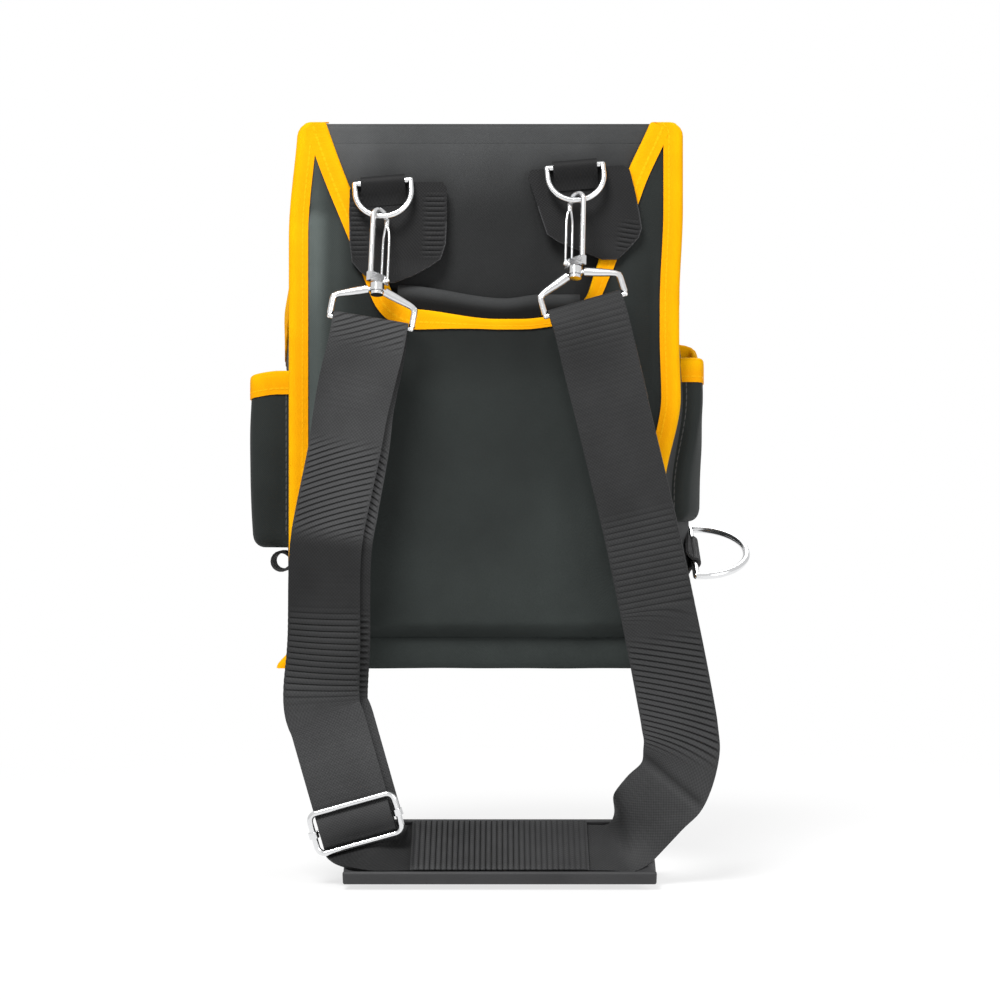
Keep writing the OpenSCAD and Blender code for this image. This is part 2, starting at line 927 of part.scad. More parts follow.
// Webbing tabs that carry the D-rings
module ring_tab(bar, outline) {
    color(strap_colour)
        difference() {
            union() {
                framed(bar, ring_axis, [0, 1, 0], cross(ring_axis, [0, 1, 0]))
                    rotate([0, 90, 0])
                        cylinder(r = sleeve_r, h = sleeve_l, center = true);
                translate(bar + [0, rear_y - bar_y, 0])
                    rotate([0, -atan2(ring_axis[2], ring_axis[0]), 0])
                        translate([-sleeve_l / 2, -sleeve_r - air, -sleeve_r])
                            cube([sleeve_l, sleeve_r + air, sleeve_r * 2]);
                translate([0, patch_y, tray_top + binding_t])
                    rotate([-tray_lean, 0, 0])
                        translate([0, 0, -tray_top - binding_t])
                            upright(-tab_t, tab_t)
                                polygon(outline);
            }
            framed(bar, ring_axis, [0, 1, 0], cross(ring_axis, [0, 1, 0]))
                rotate([0, 90, 0])
                    cylinder(r = ring_r + sleeve_gap, h = 3 * sleeve_l, center = true);
            translate([-big, rear_y, -big])
                cube([2 * big, 20, 2 * big]);
        }
}

module left_ring_tab() {
    ring_tab(left_bar, [
        [-91, -46], [-85, -40], [-32, -40], [-28, -45], [-29, -83], [-33, -91],
        [-39, -95], [-58, -105], [-68, -107], [-77, -104], [-84, -98], [-90, -91]
    ]);
}

module right_ring_tab() {
    ring_tab(right_bar, [
        [24, -38], [27, -33], [85, -28], [90, -31], [98, -69], [96, -76],
        [82, -91], [74, -90], [45, -79], [36, -74]
    ]);
}

// D-rings
module d_ring(bar) {
    color(steel_colour)
        framed(bar, ring_axis, cross(-ring_dn, ring_axis), -ring_dn)
            bow(ring_w, ring_h, ring_r);
}

module left_d_ring() {
    d_ring(left_bar);
}

module right_d_ring() {
    d_ring(right_bar);
}

// Snap hooks, drawn with the boss at the origin and the crown up
module hook_frame(boss, turn_deg) {
    x = unit(cross([0, 1, 0], hook_up));
    y = cross(hook_up, x);
    framed(boss, x, y, hook_up)
        rotate([0, 0, turn_deg])
            children();
}

module hook_shape() {
    difference() {
        union() {
            translate([-crown_r, 0, block_z + 1])
                cylinder(r = rod_r, h = crown_z - block_z - 1);
            translate([0, 0, crown_z])
                rotate([90, 0, 0])
                    rotate_extrude(angle = 180)
                        translate([crown_r, 0])
                            circle(rod_r);
            translate([crown_r, 0, nose_z])
                cylinder(r = rod_r, h = crown_z - nose_z);
            translate([-crown_r - rod_r, -rod_r, block_z])
                cube([2 * crown_r + 2 * rod_r, 2 * rod_r, block_h]);
            translate([0, 0, -boss_h / 2 - 2.4])
                cylinder(d = post_d, h = block_z + boss_h / 2 + 3);
            translate([0, 0, -boss_h / 2 - 2.4])
                cylinder(r = boss_r - 0.6, h = 2.1);
        }
        translate([crown_r - gate_w - 1.2, -rod_r + gate_cheek - air, block_z + 0.8])
            cube([gate_w * 3, 2 * (rod_r - gate_cheek + air), 20]);
        translate([crown_r, 0, pin_z])
            rotate([90, 0, 0])
                cylinder(d = gate_pin_d, h = 20, center = true);
    }
}

module gate_shape() {
    difference() {
        union() {
            translate([crown_r - gate_w / 2, -rod_r + gate_cheek, pin_z])
                cube([gate_w, 2 * (rod_r - gate_cheek), nose_z - air - pin_z]);
            translate([crown_r, 0, pin_z])
                rotate([90, 0, 0])
                    cylinder(d = gate_w, h = 2 * (rod_r - gate_cheek), center = true);
        }
        translate([crown_r, 0, pin_z])
            rotate([90, 0, 0])
                cylinder(d = gate_pin_d + 2 * gate_gap, h = 20, center = true);
    }
}

module gate_pin_shape() {
    translate([crown_r, 0, pin_z])
        rotate([90, 0, 0])
            cylinder(d = gate_pin_d, h = 2 * rod_r, center = true);
}

module left_hook() {
    color(steel_colour)
        hook_frame(left_boss, 90 - hook_turn)
            hook_shape();
}

module left_gate() {
    color(steel_colour)
        hook_frame(left_boss, 90 - hook_turn)
            gate_shape();
}

module left_gate_pin() {
    color(steel_colour)
        hook_frame(left_boss, 90 - hook_turn)
            gate_pin_shape();
}

module right_hook() {
    color(steel_colour)
        hook_frame(right_boss, 90 + hook_turn)
            hook_shape();
}

module right_gate() {
    color(steel_colour)
        hook_frame(right_boss, 90 + hook_turn)
            gate_shape();
}

module right_gate_pin() {
    color(steel_colour)
        hook_frame(right_boss, 90 + hook_turn)
            gate_pin_shape();
}

// Wire bails that hold the strap ends
module bail(boss, a, dn) {
    color(steel_colour)
        difference() {
            union() {
                for (s = [-1, 1]) {
                    rod(boss, boss + s * bail_half * a + shoulder_drop * dn, bail_r);
                    translate(boss + s * bail_half * a + shoulder_drop * dn)
                        sphere(bail_r + tape_ease);
                    rod(boss + s * bail_half * a + shoulder_drop * dn,
                        boss + s * bail_half * a + bail_drop * dn, bail_r);
                    translate(boss + s * bail_half * a + bail_drop * dn)
                        sphere(bail_r + tape_ease);
                }
                rod(boss - bail_half * a + bail_drop * dn, boss + bail_half * a + bail_drop * dn, bail_r);
                hook_frame(boss, 0)
                    cylinder(r = boss_r, h = boss_h, center = true);
            }
            hook_frame(boss, 0)
                cylinder(r = post_d / 2 + post_gap, h = 3 * boss_h, center = true);
            hook_frame(boss, 0)
                translate([0, 0, -boss_h / 2 - 2.6])
                    cylinder(r = boss_r, h = 2.6);
        }
}

module left_bail() {
    bail(left_boss, left_across, left_down);
}

module right_bail() {
    bail(right_boss, right_across, right_down);
}

// Strap webbing
module left_strap() {
    back_layer = [for (i = [return_count : -1 : 1]) behind(left_run, i, 5 * min(1, i / 16))];
    loop = turn(left_hold, left_out, -left_down, left_across, 8);
    fan = [for (i = [1 : len(fan_run) - 1]) fan_run[i]];
    color(strap_colour)
        band(concat(back_layer, loop, left_run, fan), strap_w, strap_t);
}

module right_strap() {
    n = len(right_run);
    loop = turn(right_hold, right_out, -right_down, -right_across, 8);
    tail = [for (i = [n - 2 : -1 : n - tail_count]) behind(right_run, i, 0)];
    color(strap_colour)
        band(concat(right_run, [for (k = [6 : -1 : 0]) loop[k]], tail), strap_w, strap_t);
}

// Slider
module slider_space() {
    framed(slider_at, slide_in, -slide_dir, -slider_out)
        mirror([0, 0, 1])
            children();
}

module slider_frame() {
    w = slider_half - slider_r;
    h = slider_h / 2 - slider_r;
    color(steel_colour)
        slider_space()
            translate([0, 0, frame_n]) {
                for (s = [-1, 1]) {
                    rod([-w, s * slider_h / 2, 0], [w, s * slider_h / 2, 0], sw_r);
                    rod([s * slider_half, -h, 0], [s * slider_half, h, 0], sw_r);
                }
                for (k = [0 : 3])
                    translate([(k == 0 || k == 3 ? 1 : -1) * w, (k < 2 ? 1 : -1) * h, 0])
                        rotate([0, 0, 90 * k])
                            rotate_extrude(angle = 90)
                                translate([slider_r, 0])
                                    circle(sw_r);
            }
}

module slider_bar() {
    color(steel_colour)
        slider_space()
            difference() {
                union() {
                    rod([-slider_half, 0, bar_n], [slider_half, 0, bar_n], bar_r);
                    for (s = [-1, 1]) {
                        translate([s * slider_half, 0, bar_n])
                            cylinder(r = bar_r, h = frame_n - bar_n);
                        translate([s * slider_half, 0, bar_n])
                            sphere(bar_r);
                        translate([s * slider_half, 0, frame_n])
                            rotate([90, 0, 0])
                                cylinder(r = sw_r + 1.3, h = 4, center = true);
                    }
                }
                for (s = [-1, 1])
                    translate([s * slider_half, 0, frame_n])
                        rotate([90, 0, 0])
                            cylinder(r = sw_r + 0.05, h = 20, center = true);
            }
}

module slider_webbing_hump() {
    span = slider_h / 2 - sw_r - 0.6;
    rise = 5.4;
    r = (span * span + rise * rise) / 2 / rise;
    color(strap_colour)
        slider_space()
            intersection() {
                translate([0, 0, strap_t / 2 + air + rise - r])
                    rotate([0, 90, 0])
                        cylinder(r = r, h = strap_w - 1, center = true, $fn = 96);
                translate([-strap_w, -span, strap_t / 2 + air])
                    cube([2 * strap_w, 2 * span, 20]);
            }
}

// Shoulder pad
module pad_space() {
    framed(pad_mid, [1, 0, 0], pad_in, pad_up)
        children();
}

module shoulder_pad() {
    color(strap_colour)
        pad_space() {
            translate([-pad_l / 2, -bed_half - lip_w, bed_n - pad_t])
                cube([pad_l, 2 * bed_half + 2 * lip_w, pad_t]);
            for (s = [-1, 1])
                translate([-pad_l / 2, s * (bed_half + lip_w / 2) - lip_w / 2, bed_n - e])
                    cube([pad_l, lip_w, lip_h]);
        }
}

module pad_ribbed_cover() {
    color(strap_colour)
        pad_space()
            translate([cover_x - cover_l / 2, -bed_half, cover_n])
                cube([cover_l, 2 * bed_half, cover_t]);
}

back_panel();
back_board();
back_lining();
top_hem();
rear_pocket();
rear_pocket_lining();
rear_mouth_binding();
left_edge_binding();
right_edge_binding();
left_side_wall();
right_side_wall();
front_wall();
base_panel();
base_board();
left_rim_binding();
right_rim_binding();
front_rim_binding();
left_side_pocket();
left_pocket_binding();
right_side_pocket();
right_pocket_binding();
tall_front_pocket();
tall_pocket_binding();
left_short_pocket();
right_short_pocket();
short_pocket_bindings();
left_tool_loop();
hammer_loop_holder();
hammer_loop();
left_ring_tab();
right_ring_tab();
left_d_ring();
right_d_ring();
left_hook();
left_gate();
left_gate_pin();
left_bail();
right_hook();
right_gate();
right_gate_pin();
right_bail();
left_strap();
right_strap();
slider_frame();
slider_bar();
slider_webbing_hump();
shoulder_pad();
pad_ribbed_cover();
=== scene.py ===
# %% [markdown]
# # A garden tool bag, seen from behind
# The bag hangs by its stiff top hem. Its rear has a wide pocket bound in yellow tape, and a webbing strap
# on snap hooks hangs in front of that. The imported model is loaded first: its steel fittings stay, and every
# cloth solid is replaced by a softer piece that sits in the same place.

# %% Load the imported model
import json
from math import atan2, cos, pi, radians, sin, sqrt

import bpy
from mathutils import Matrix, Vector, noise


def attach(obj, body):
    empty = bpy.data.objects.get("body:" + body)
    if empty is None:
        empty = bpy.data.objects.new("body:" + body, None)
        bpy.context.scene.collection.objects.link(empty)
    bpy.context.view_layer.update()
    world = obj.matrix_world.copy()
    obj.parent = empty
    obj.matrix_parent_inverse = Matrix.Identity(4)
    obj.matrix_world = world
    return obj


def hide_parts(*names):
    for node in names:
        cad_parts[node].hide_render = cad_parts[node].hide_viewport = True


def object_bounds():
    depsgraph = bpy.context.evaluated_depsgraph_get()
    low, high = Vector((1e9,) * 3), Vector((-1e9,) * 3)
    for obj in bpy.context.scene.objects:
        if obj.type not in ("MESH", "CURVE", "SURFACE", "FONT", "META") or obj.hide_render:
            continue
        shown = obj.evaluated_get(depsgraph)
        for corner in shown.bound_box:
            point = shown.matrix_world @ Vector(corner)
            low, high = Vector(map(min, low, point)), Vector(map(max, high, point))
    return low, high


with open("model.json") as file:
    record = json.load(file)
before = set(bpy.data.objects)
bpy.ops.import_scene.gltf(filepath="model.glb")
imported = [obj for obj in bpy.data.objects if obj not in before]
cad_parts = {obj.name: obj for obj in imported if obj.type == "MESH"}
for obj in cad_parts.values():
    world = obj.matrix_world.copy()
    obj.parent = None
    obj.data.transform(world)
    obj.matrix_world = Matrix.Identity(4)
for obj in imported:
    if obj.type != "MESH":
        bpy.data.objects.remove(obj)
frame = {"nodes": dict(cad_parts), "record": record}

cad_low, cad_high = [[float(n) for n in corner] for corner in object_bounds()]
JOINTS = {joint["name"]: joint for joint in frame["record"]["behaviour"]["joints"]}
MM = 0.001
print("packed box", cad_low, cad_high)

# %% [markdown]
# ## Camera
# The photograph looks straight at the rear of the bag from about a metre and a half. The webbing is sold as
# 50 mm wide, which gives the scale, and the scale gives the lens.

# %% Camera
VIEW_DISTANCE = 1.5
VIEW_WIDTH = 0.65
VIEW_X, VIEW_Z = 0.0062, -0.2457
REAR_PLANE = -0.003
SENSOR_MM = 36
bpy.ops.object.camera_add(location=(VIEW_X, REAR_PLANE - VIEW_DISTANCE, VIEW_Z), rotation=(pi / 2, 0, 0))
camera = bpy.context.object
camera.name = "photo_camera"
camera.data.sensor_width = SENSOR_MM
camera.data.lens = SENSOR_MM * VIEW_DISTANCE / VIEW_WIDTH
bpy.context.scene.camera = camera
print("lens", round(camera.data.lens, 1), "mm")

# %% [markdown]
# ## Helpers for picking and finishing
# Operators act on whatever is selected, so each step starts by letting go of everything. A finished piece
# gets its material, rides on one body of the imported model, and hides the imported solids that it replaces.


# %% Picking and finishing
def let_go():
    if bpy.context.object and bpy.context.object.mode != "OBJECT":
        bpy.ops.object.mode_set(mode="OBJECT")
    bpy.ops.object.select_all(action="DESELECT")


def take(piece):
    let_go()
    piece.select_set(True)
    bpy.context.view_layer.objects.active = piece


def join(piece, *others):
    """Makes other meshes part of the first one."""
    take(piece)
    for other in others:
        other.select_set(True)
    bpy.ops.object.join()


def modify(piece, kind, **settings):
    take(piece)
    bpy.ops.object.modifier_add(type=kind)
    modifier = piece.modifiers[-1]
    for name, value in settings.items():
        setattr(modifier, name, value)
    bpy.ops.object.modifier_apply(modifier=modifier.name)


def outward(piece):
    take(piece)
    bpy.ops.object.mode_set(mode="EDIT")
    bpy.ops.mesh.select_all(action="SELECT")
    bpy.ops.mesh.normals_make_consistent(inside=False)
    bpy.ops.object.mode_set(mode="OBJECT")


def finish_piece(piece, material, body, slot, *nodes, smooth=60):
    take(piece)
    bpy.ops.object.shade_smooth_by_angle(angle=radians(smooth))
    piece.data.materials.clear()
    piece.data.materials.append(material)
    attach(piece, body)
    if nodes:
        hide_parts(*nodes)
    print(piece.name, len(piece.data.polygons), "faces")
    return piece


# %% [markdown]
# ## Helpers for smooth shapes
# Cloth has hardly a straight line in it. A curve could be drawn for every edge, but a formula can be asked
# at any point, so the shapes here are sums of smooth steps, creases and slow unevenness.


# %% Smooth shapes
def ease(start, end, value):
    """0 before start, 1 after end, and a smooth step between."""
    t = min(1, max(0, (value - start) / (end - start)))
    return t * t * (3 - 2 * t)


def mix(a, b, t):
    return a + (b - a) * t


def level_at(levels, z):
    """A number at one height, from a list of (height, number) that runs downwards."""
    for (z0, n0), (z1, n1) in zip(levels, levels[1:]):
        if z1 <= z <= z0:
            return mix(n0, n1, ease(z0, z1, z))
    return levels[0][1] if z > levels[0][0] else levels[-1][1]


def crease(value, at, width, depth):
    return depth * max(0, 1 - abs(value - at) / width) ** 2


def ripple(x, y, z, scale, seed):
    """Smooth unevenness from -1 to 1, for a point in millimetres."""
    return noise.noise(Vector((x / scale + seed * 7.3, y / scale, z / scale)))


print("a quarter of the way, a smooth step has reached", ease(0, 1, 0.25))

# %% [markdown]
# ## A sheet of cloth
# Cloth starts as a flat grid. Each of its points, from 0 to 1 across and along, is moved to its place on
# the bag in millimetres, and the UV map is scaled to real metres, so that every weave has the same thread
# size. Solidify then gives it a thickness on both sides of that middle surface.


# %% Cloth sheets
CUT = {}


def sheet(name, columns, rows, place, wide, tall):
    let_go()
    bpy.ops.mesh.primitive_grid_add(x_subdivisions=columns, y_subdivisions=rows, size=1)
    piece = bpy.context.object
    piece.name = name
    for corner in piece.data.uv_layers.active.data:
        corner.uv = (corner.uv[0] * wide * MM, corner.uv[1] * tall * MM)
    for point in piece.data.vertices:
        point.co = Vector(place(point.co.x + 0.5, point.co.y + 0.5)) * MM
    points = [point.co.copy() for point in piece.data.vertices]
    span = columns + 1
    widths = [
        sum((points[k + 1] - points[k]).length for k in range(start, start + columns))
        for start in range(0, len(points), span)
    ]
    lengths = [
        sum((points[k + span] - points[k]).length for k in range(start, len(points) - span, span))
        for start in range(span)
    ]
    CUT[name] = max(widths), max(lengths), sum(face.area for face in piece.data.polygons)
    return piece


def mark(piece, label, values):
    """Stores one number a point on a sheet, for its material to read."""
    piece.data.attributes.new(label, "FLOAT", "POINT").data.foreach_set("value", values)


# Painted light and shade: one number for each point, which scales the colour of the cloth and the webbing.
def paint_light_by(piece, level):
    mark(piece, "light_and_shade", [level(point.co) for point in piece.data.vertices])


def thicken(piece, thick, side=0.0):
    modify(piece, "SOLIDIFY", thickness=thick * MM, offset=side)
    outward(piece)


# %% [markdown]
# ## Finishes: shared effects
# The weave, the blotchy unevenness and the rows of stitches are used by several materials, so each is a
# node group. A group only puts out masks and heights, and the shader stays in the material.


# %% Node helpers
def new_group(name, inputs, outputs):
    group = bpy.data.node_groups.new(name, "ShaderNodeTree")
    for label, kind, value in inputs:
        socket = group.interface.new_socket(name=label, in_out="INPUT", socket_type=kind)
        if value is not None:
            socket.default_value = value
    for label in outputs:
        group.interface.new_socket(name=label, in_out="OUTPUT", socket_type="NodeSocketFloat")
    return group, group.nodes.new("NodeGroupInput"), group.nodes.new("NodeGroupOutput")


def feed(tree, socket, value):
    """Links another node's output to a socket, or sets the socket to a plain value."""
    if isinstance(value, bpy.types.NodeSocket):
        tree.links.new(value, socket)
    else:
        socket.default_value = value


def math(tree, operation, *values, clamp=False):
    node = tree.nodes.new("ShaderNodeMath")
    node.operation = operation
    node.use_clamp = clamp
    for socket, value in zip(node.inputs, values):
        feed(tree, socket, value)
    return node.outputs[0]


def noise_mask(tree, vector, scale, detail=3.0, rough=0.55):
    node = tree.nodes.new("ShaderNodeTexNoise")
    for label, value in (("Vector", vector), ("Scale", scale), ("Detail", detail), ("Roughness", rough)):
        feed(tree, node.inputs[label], value)
    return node.outputs["Fac"]


def split(tree, vector):
    """The first two numbers of a vector, such as the two directions of a UV map."""
    node = tree.nodes.new("ShaderNodeSeparateXYZ")
    tree.links.new(vector, node.inputs[0])
    return node.outputs[0], node.outputs[1]


print("node groups before the first effect", len(bpy.data.node_groups))

# %% [markdown]
# ### Weave
# Plain cloth goes over one thread and under the next. An image of cloth would blur close up. Two sine waves
# multiplied give the same chequer of bumps at any size, and the UV map in metres lets the threads be
# counted.

# %% Weave group
CLOTH_THREADS = 1900.0
GAP_SHARPNESS = 6.0
weave, weave_in, weave_out = new_group(
    "weave",
    [("UV", "NodeSocketVector", None), ("Threads per metre", "NodeSocketFloat", CLOTH_THREADS)],
    ["Height", "Gaps"],
)
turns = [
    math(weave, "MULTIPLY", math(weave, "MULTIPLY", axis, weave_in.outputs["Threads per metre"]), pi)
    for axis in split(weave, weave_in.outputs["UV"])
]
over = math(weave, "MULTIPLY", *[math(weave, "SINE", turn) for turn in turns])
weave.links.new(math(weave, "MULTIPLY_ADD", over, 0.5, 0.5), weave_out.inputs["Height"])
edges = [math(weave, "ABSOLUTE", math(weave, "COSINE", turn)) for turn in turns]
gaps = math(weave, "POWER", math(weave, "MAXIMUM", *edges), GAP_SHARPNESS)
weave.links.new(gaps, weave_out.inputs["Gaps"])
print("weave group", len(weave.nodes), "nodes")

# %% [markdown]
# ### Blotches
# Dye, dust and handling never leave a surface even. One slow noise gives the patches and one fast noise the
# speckle of single fibres. Both read a position, so nothing has to be painted.

# %% Blotch group
blotch, blotch_in, blotch_out = new_group(
    "blotch",
    [
        ("Vector", "NodeSocketVector", None),
        ("Patch scale", "NodeSocketFloat", 18.0),
        ("Fibre scale", "NodeSocketFloat", 900.0),
    ],
    ["Patches", "Fibres"],
)
patches = noise_mask(blotch, blotch_in.outputs["Vector"], blotch_in.outputs["Patch scale"])
fibres = noise_mask(blotch, blotch_in.outputs["Vector"], blotch_in.outputs["Fibre scale"], 2.0, 0.7)
blotch.links.new(patches, blotch_out.inputs["Patches"])
blotch.links.new(fibres, blotch_out.inputs["Fibres"])
print("blotch group", len(blotch.nodes), "nodes")

# %% [markdown]
# ### Stitches
# A seam shows as a dashed row of thread. Thousands of tiny meshes would be heavy, so the row is a mask:
# near one distance across the UV map, and dashed along it. The thread's rounded top comes out as a height.

# %% Stitch group
THREAD_EDGE = 0.45
stitch, stitch_in, stitch_out = new_group(
    "stitch row",
    [
        ("UV", "NodeSocketVector", None),
        ("Row", "NodeSocketFloat", 0.002),
        ("Half width", "NodeSocketFloat", 0.00045),
        ("Pitch", "NodeSocketFloat", 0.0036),
    ],
    ["Thread", "Height"],
)
along_row, across_row = split(stitch, stitch_in.outputs["UV"])
off_row = math(stitch, "ABSOLUTE", math(stitch, "SUBTRACT", across_row, stitch_in.outputs["Row"]))
off_share = math(stitch, "DIVIDE", off_row, stitch_in.outputs["Half width"])
near_row = math(stitch, "SUBTRACT", 1.0, off_share, clamp=True)
step = math(stitch, "FRACT", math(stitch, "DIVIDE", along_row, stitch_in.outputs["Pitch"]))
dash = math(stitch, "POWER", math(stitch, "SINE", math(stitch, "MULTIPLY", step, pi)), 0.5)
loop_height = math(stitch, "MULTIPLY", math(stitch, "POWER", near_row, 0.5), dash)
stitch.links.new(loop_height, stitch_out.inputs["Height"])
stitch.links.new(math(stitch, "GREATER_THAN", loop_height, THREAD_EDGE), stitch_out.inputs["Thread"])
print("stitch group", len(stitch.nodes), "nodes")

# %% [markdown]
# ## Finishes: the materials themselves
# Charcoal cloth, yellow woven tape, ribbed webbing, soft foam, stiff board and bright plated steel. Each
# one puts the shared masks to its own use, so a few helpers place the groups, blend two colours and add the
# relief.


# %% Material helpers
def new_material(name, colour, roughness, metallic=0.0):
    material = bpy.data.materials.new(name)
    material.use_nodes = True
    tree = material.node_tree
    shader = tree.nodes["Principled BSDF"]
    shader.inputs["Base Color"].default_value = (*colour, 1)
    shader.inputs["Roughness"].default_value = roughness
    shader.inputs["Metallic"].default_value = metallic
    return material, tree, shader


def coordinates(tree):
    return tree.nodes.new("ShaderNodeTexCoord").outputs


def use_group(tree, group, **values):
    node = tree.nodes.new("ShaderNodeGroup")
    node.node_tree = group
    for label, value in values.items():
        feed(tree, node.inputs[label.replace("_", " ")], value)
    return node.outputs


def blend_colour(tree, mask, first, second):
    node = tree.nodes.new("ShaderNodeMix")
    node.data_type = "RGBA"
    feed(tree, node.inputs["Factor"], mask)
    for label, colour in (("A", first), ("B", second)):
        feed(tree, node.inputs[label], (*colour, 1) if isinstance(colour, tuple) else colour)
    return node.outputs["Result"]


def add_bump(tree, shader, height, distance, strength):
    node = tree.nodes.new("ShaderNodeBump")
    node.inputs["Strength"].default_value = strength
    node.inputs["Distance"].default_value = distance
    tree.links.new(height, node.inputs["Height"])
    tree.links.new(node.outputs[0], shader.inputs["Normal"])


def stored(tree, label):
    """A number that was stored on the points of a sheet."""
    node = tree.nodes.new("ShaderNodeAttribute")
    node.attribute_name = label
    return node.outputs["Fac"]


def with_painted_light(tree, colour):
    """Scales a colour by the piece's painted light and shade: above 0 is a painted highlight, below 0 painted
    shade.
    """
    scaled = tree.nodes.new("ShaderNodeVectorMath")
    scaled.operation = "SCALE"
    tree.links.new(colour, scaled.inputs[0])
    tree.links.new(math(tree, "ADD", stored(tree, "light_and_shade"), 1.0), scaled.inputs["Scale"])
    return scaled.outputs[0]


print("node groups to use", [group.name for group in (weave, blotch, stitch)])

# %% [markdown]
# ### Cloth
# The bag is sewn from charcoal oxford, a coarse plain weave, with a painted highlight on its raised threads.
# The weave could be modelled, but at nearly two threads a millimetre a bump is enough. A row of stitches
# follows the edge of any sheet that stores its distance from that edge.


# %% Cloth materials
CLOTH_RELIEF = 0.00018


def oxford(name, dark, light):
    material, tree, shader = new_material(name, dark, 0.7)
    where = coordinates(tree)
    yarn = use_group(tree, weave, UV=where["UV"], Threads_per_metre=CLOTH_THREADS)
    dye = use_group(tree, blotch, Vector=where["Object"])
    # Random blotches of tone, and a painted highlight on the raised threads of the weave.
    level = math(tree, "MULTIPLY_ADD", yarn["Height"], 0.35, math(tree, "MULTIPLY", dye["Patches"], 0.8))
    bloom = math(tree, "MULTIPLY_ADD", dye["Fibres"], 0.6, 0.7)
    level = math(tree, "MULTIPLY", level, bloom, clamp=True)
    seam = tree.nodes.new("ShaderNodeCombineXYZ")
    tree.links.new(math(tree, "ADD", *split(tree, where["UV"])), seam.inputs[0])
    tree.links.new(stored(tree, "from_edge"), seam.inputs[1])
    sewing = use_group(tree, stitch, UV=seam.outputs[0], Row=0.003, Half_width=0.0005, Pitch=0.004)
    thread = math(tree, "MULTIPLY", sewing["Thread"], 0.7)
    woven = with_painted_light(tree, blend_colour(tree, level, dark, light))
    tree.links.new(blend_colour(tree, thread, woven, (0.1, 0.1, 0.1)), shader.inputs["Base Color"])
    tree.links.new(math(tree, "MULTIPLY_ADD", dye["Patches"], 0.25, 0.52), shader.inputs["Roughness"])
    shader.inputs["Specular IOR Level"].default_value = 0.13
    shader.inputs["Sheen Weight"].default_value = 0.02
    height = math(tree, "MULTIPLY_ADD", dye["Fibres"], 0.3, yarn["Height"])
    add_bump(tree, shader, math(tree, "MULTIPLY_ADD", sewing["Height"], 1.5, height), CLOTH_RELIEF, 0.6)
    return material


cloth = oxford("charcoal cloth", (0.016, 0.0165, 0.0168), (0.062, 0.064, 0.065))
pocket_cloth = oxford("green black cloth", (0.0072, 0.0088, 0.0083), (0.0255, 0.0303, 0.0288))
lining_cloth = oxford("lining cloth", (0.010, 0.010, 0.011), (0.036, 0.036, 0.038))
print("cloth materials", cloth.name, pocket_cloth.name, lining_cloth.name)

# %% [markdown]
# ### Tape
# The edges are bound in golden yellow tape, with painted shade that turns it amber towards its inner edge,
# painted shade in the gaps between its threads, and one row of stitches. The tape's UV map runs across its
# width, so both the painted amber shade and the stitches are placed by that distance.

# %% Tape material
FOLD_SHADE_END = 0.0075
FOLD_SHADE_BLEND = 0.004
tape, tree, shader = new_material("yellow tape", (0.95, 0.55, 0.01), 0.55)
where = coordinates(tree)
yarn = use_group(tree, weave, UV=where["UV"], Threads_per_metre=CLOTH_THREADS)
dye = use_group(tree, blotch, Vector=where["Object"], Patch_scale=40.0)
row = use_group(tree, stitch, UV=where["UV"], Row=0.0022)
golden = blend_colour(tree, dye["Patches"], (0.80, 0.34, 0.0005), (0.94, 0.53, 0.001))
# Painted shade in the gaps between the threads.
shaded = blend_colour(tree, math(tree, "MULTIPLY", yarn["Gaps"], 0.3), golden, (0.66, 0.22, 0.001))
across_tape = split(tree, where["UV"])[1]
# Painted shade in amber towards the inner edge of the tape.
painted_fold_shade = math(tree, "DIVIDE", math(tree, "SUBTRACT", FOLD_SHADE_END, across_tape), FOLD_SHADE_BLEND, clamp=True)
shaded = blend_colour(tree, math(tree, "MULTIPLY", painted_fold_shade, 0.55), shaded, (0.82, 0.29, 0.001))
sewn = blend_colour(tree, math(tree, "MULTIPLY", row["Thread"], 0.14), shaded, (1.0, 0.70, 0.02))
tree.links.new(sewn, shader.inputs["Base Color"])
tree.links.new(math(tree, "MULTIPLY_ADD", dye["Fibres"], 0.3, 0.5), shader.inputs["Roughness"])
shader.inputs["Specular IOR Level"].default_value = 0.04
add_bump(tree, shader, math(tree, "MULTIPLY_ADD", row["Height"], 1.6, yarn["Height"]), CLOTH_RELIEF, 0.7)
print("tape material", len(tree.nodes), "nodes")

# %% [markdown]
# ### Webbing
# The strap is black nylon webbing with ribs across it. Where it has been worn in and the ribs stand out,
# their crests get a painted highlight and their grooves painted shade, nearly black. The raised threads of
# the weave get a painted highlight too. Each sheet stores the ribs' phase and wear on its points, so colour
# and ridges agree.

# %% Webbing materials
WEBBING_THREADS = 900.0


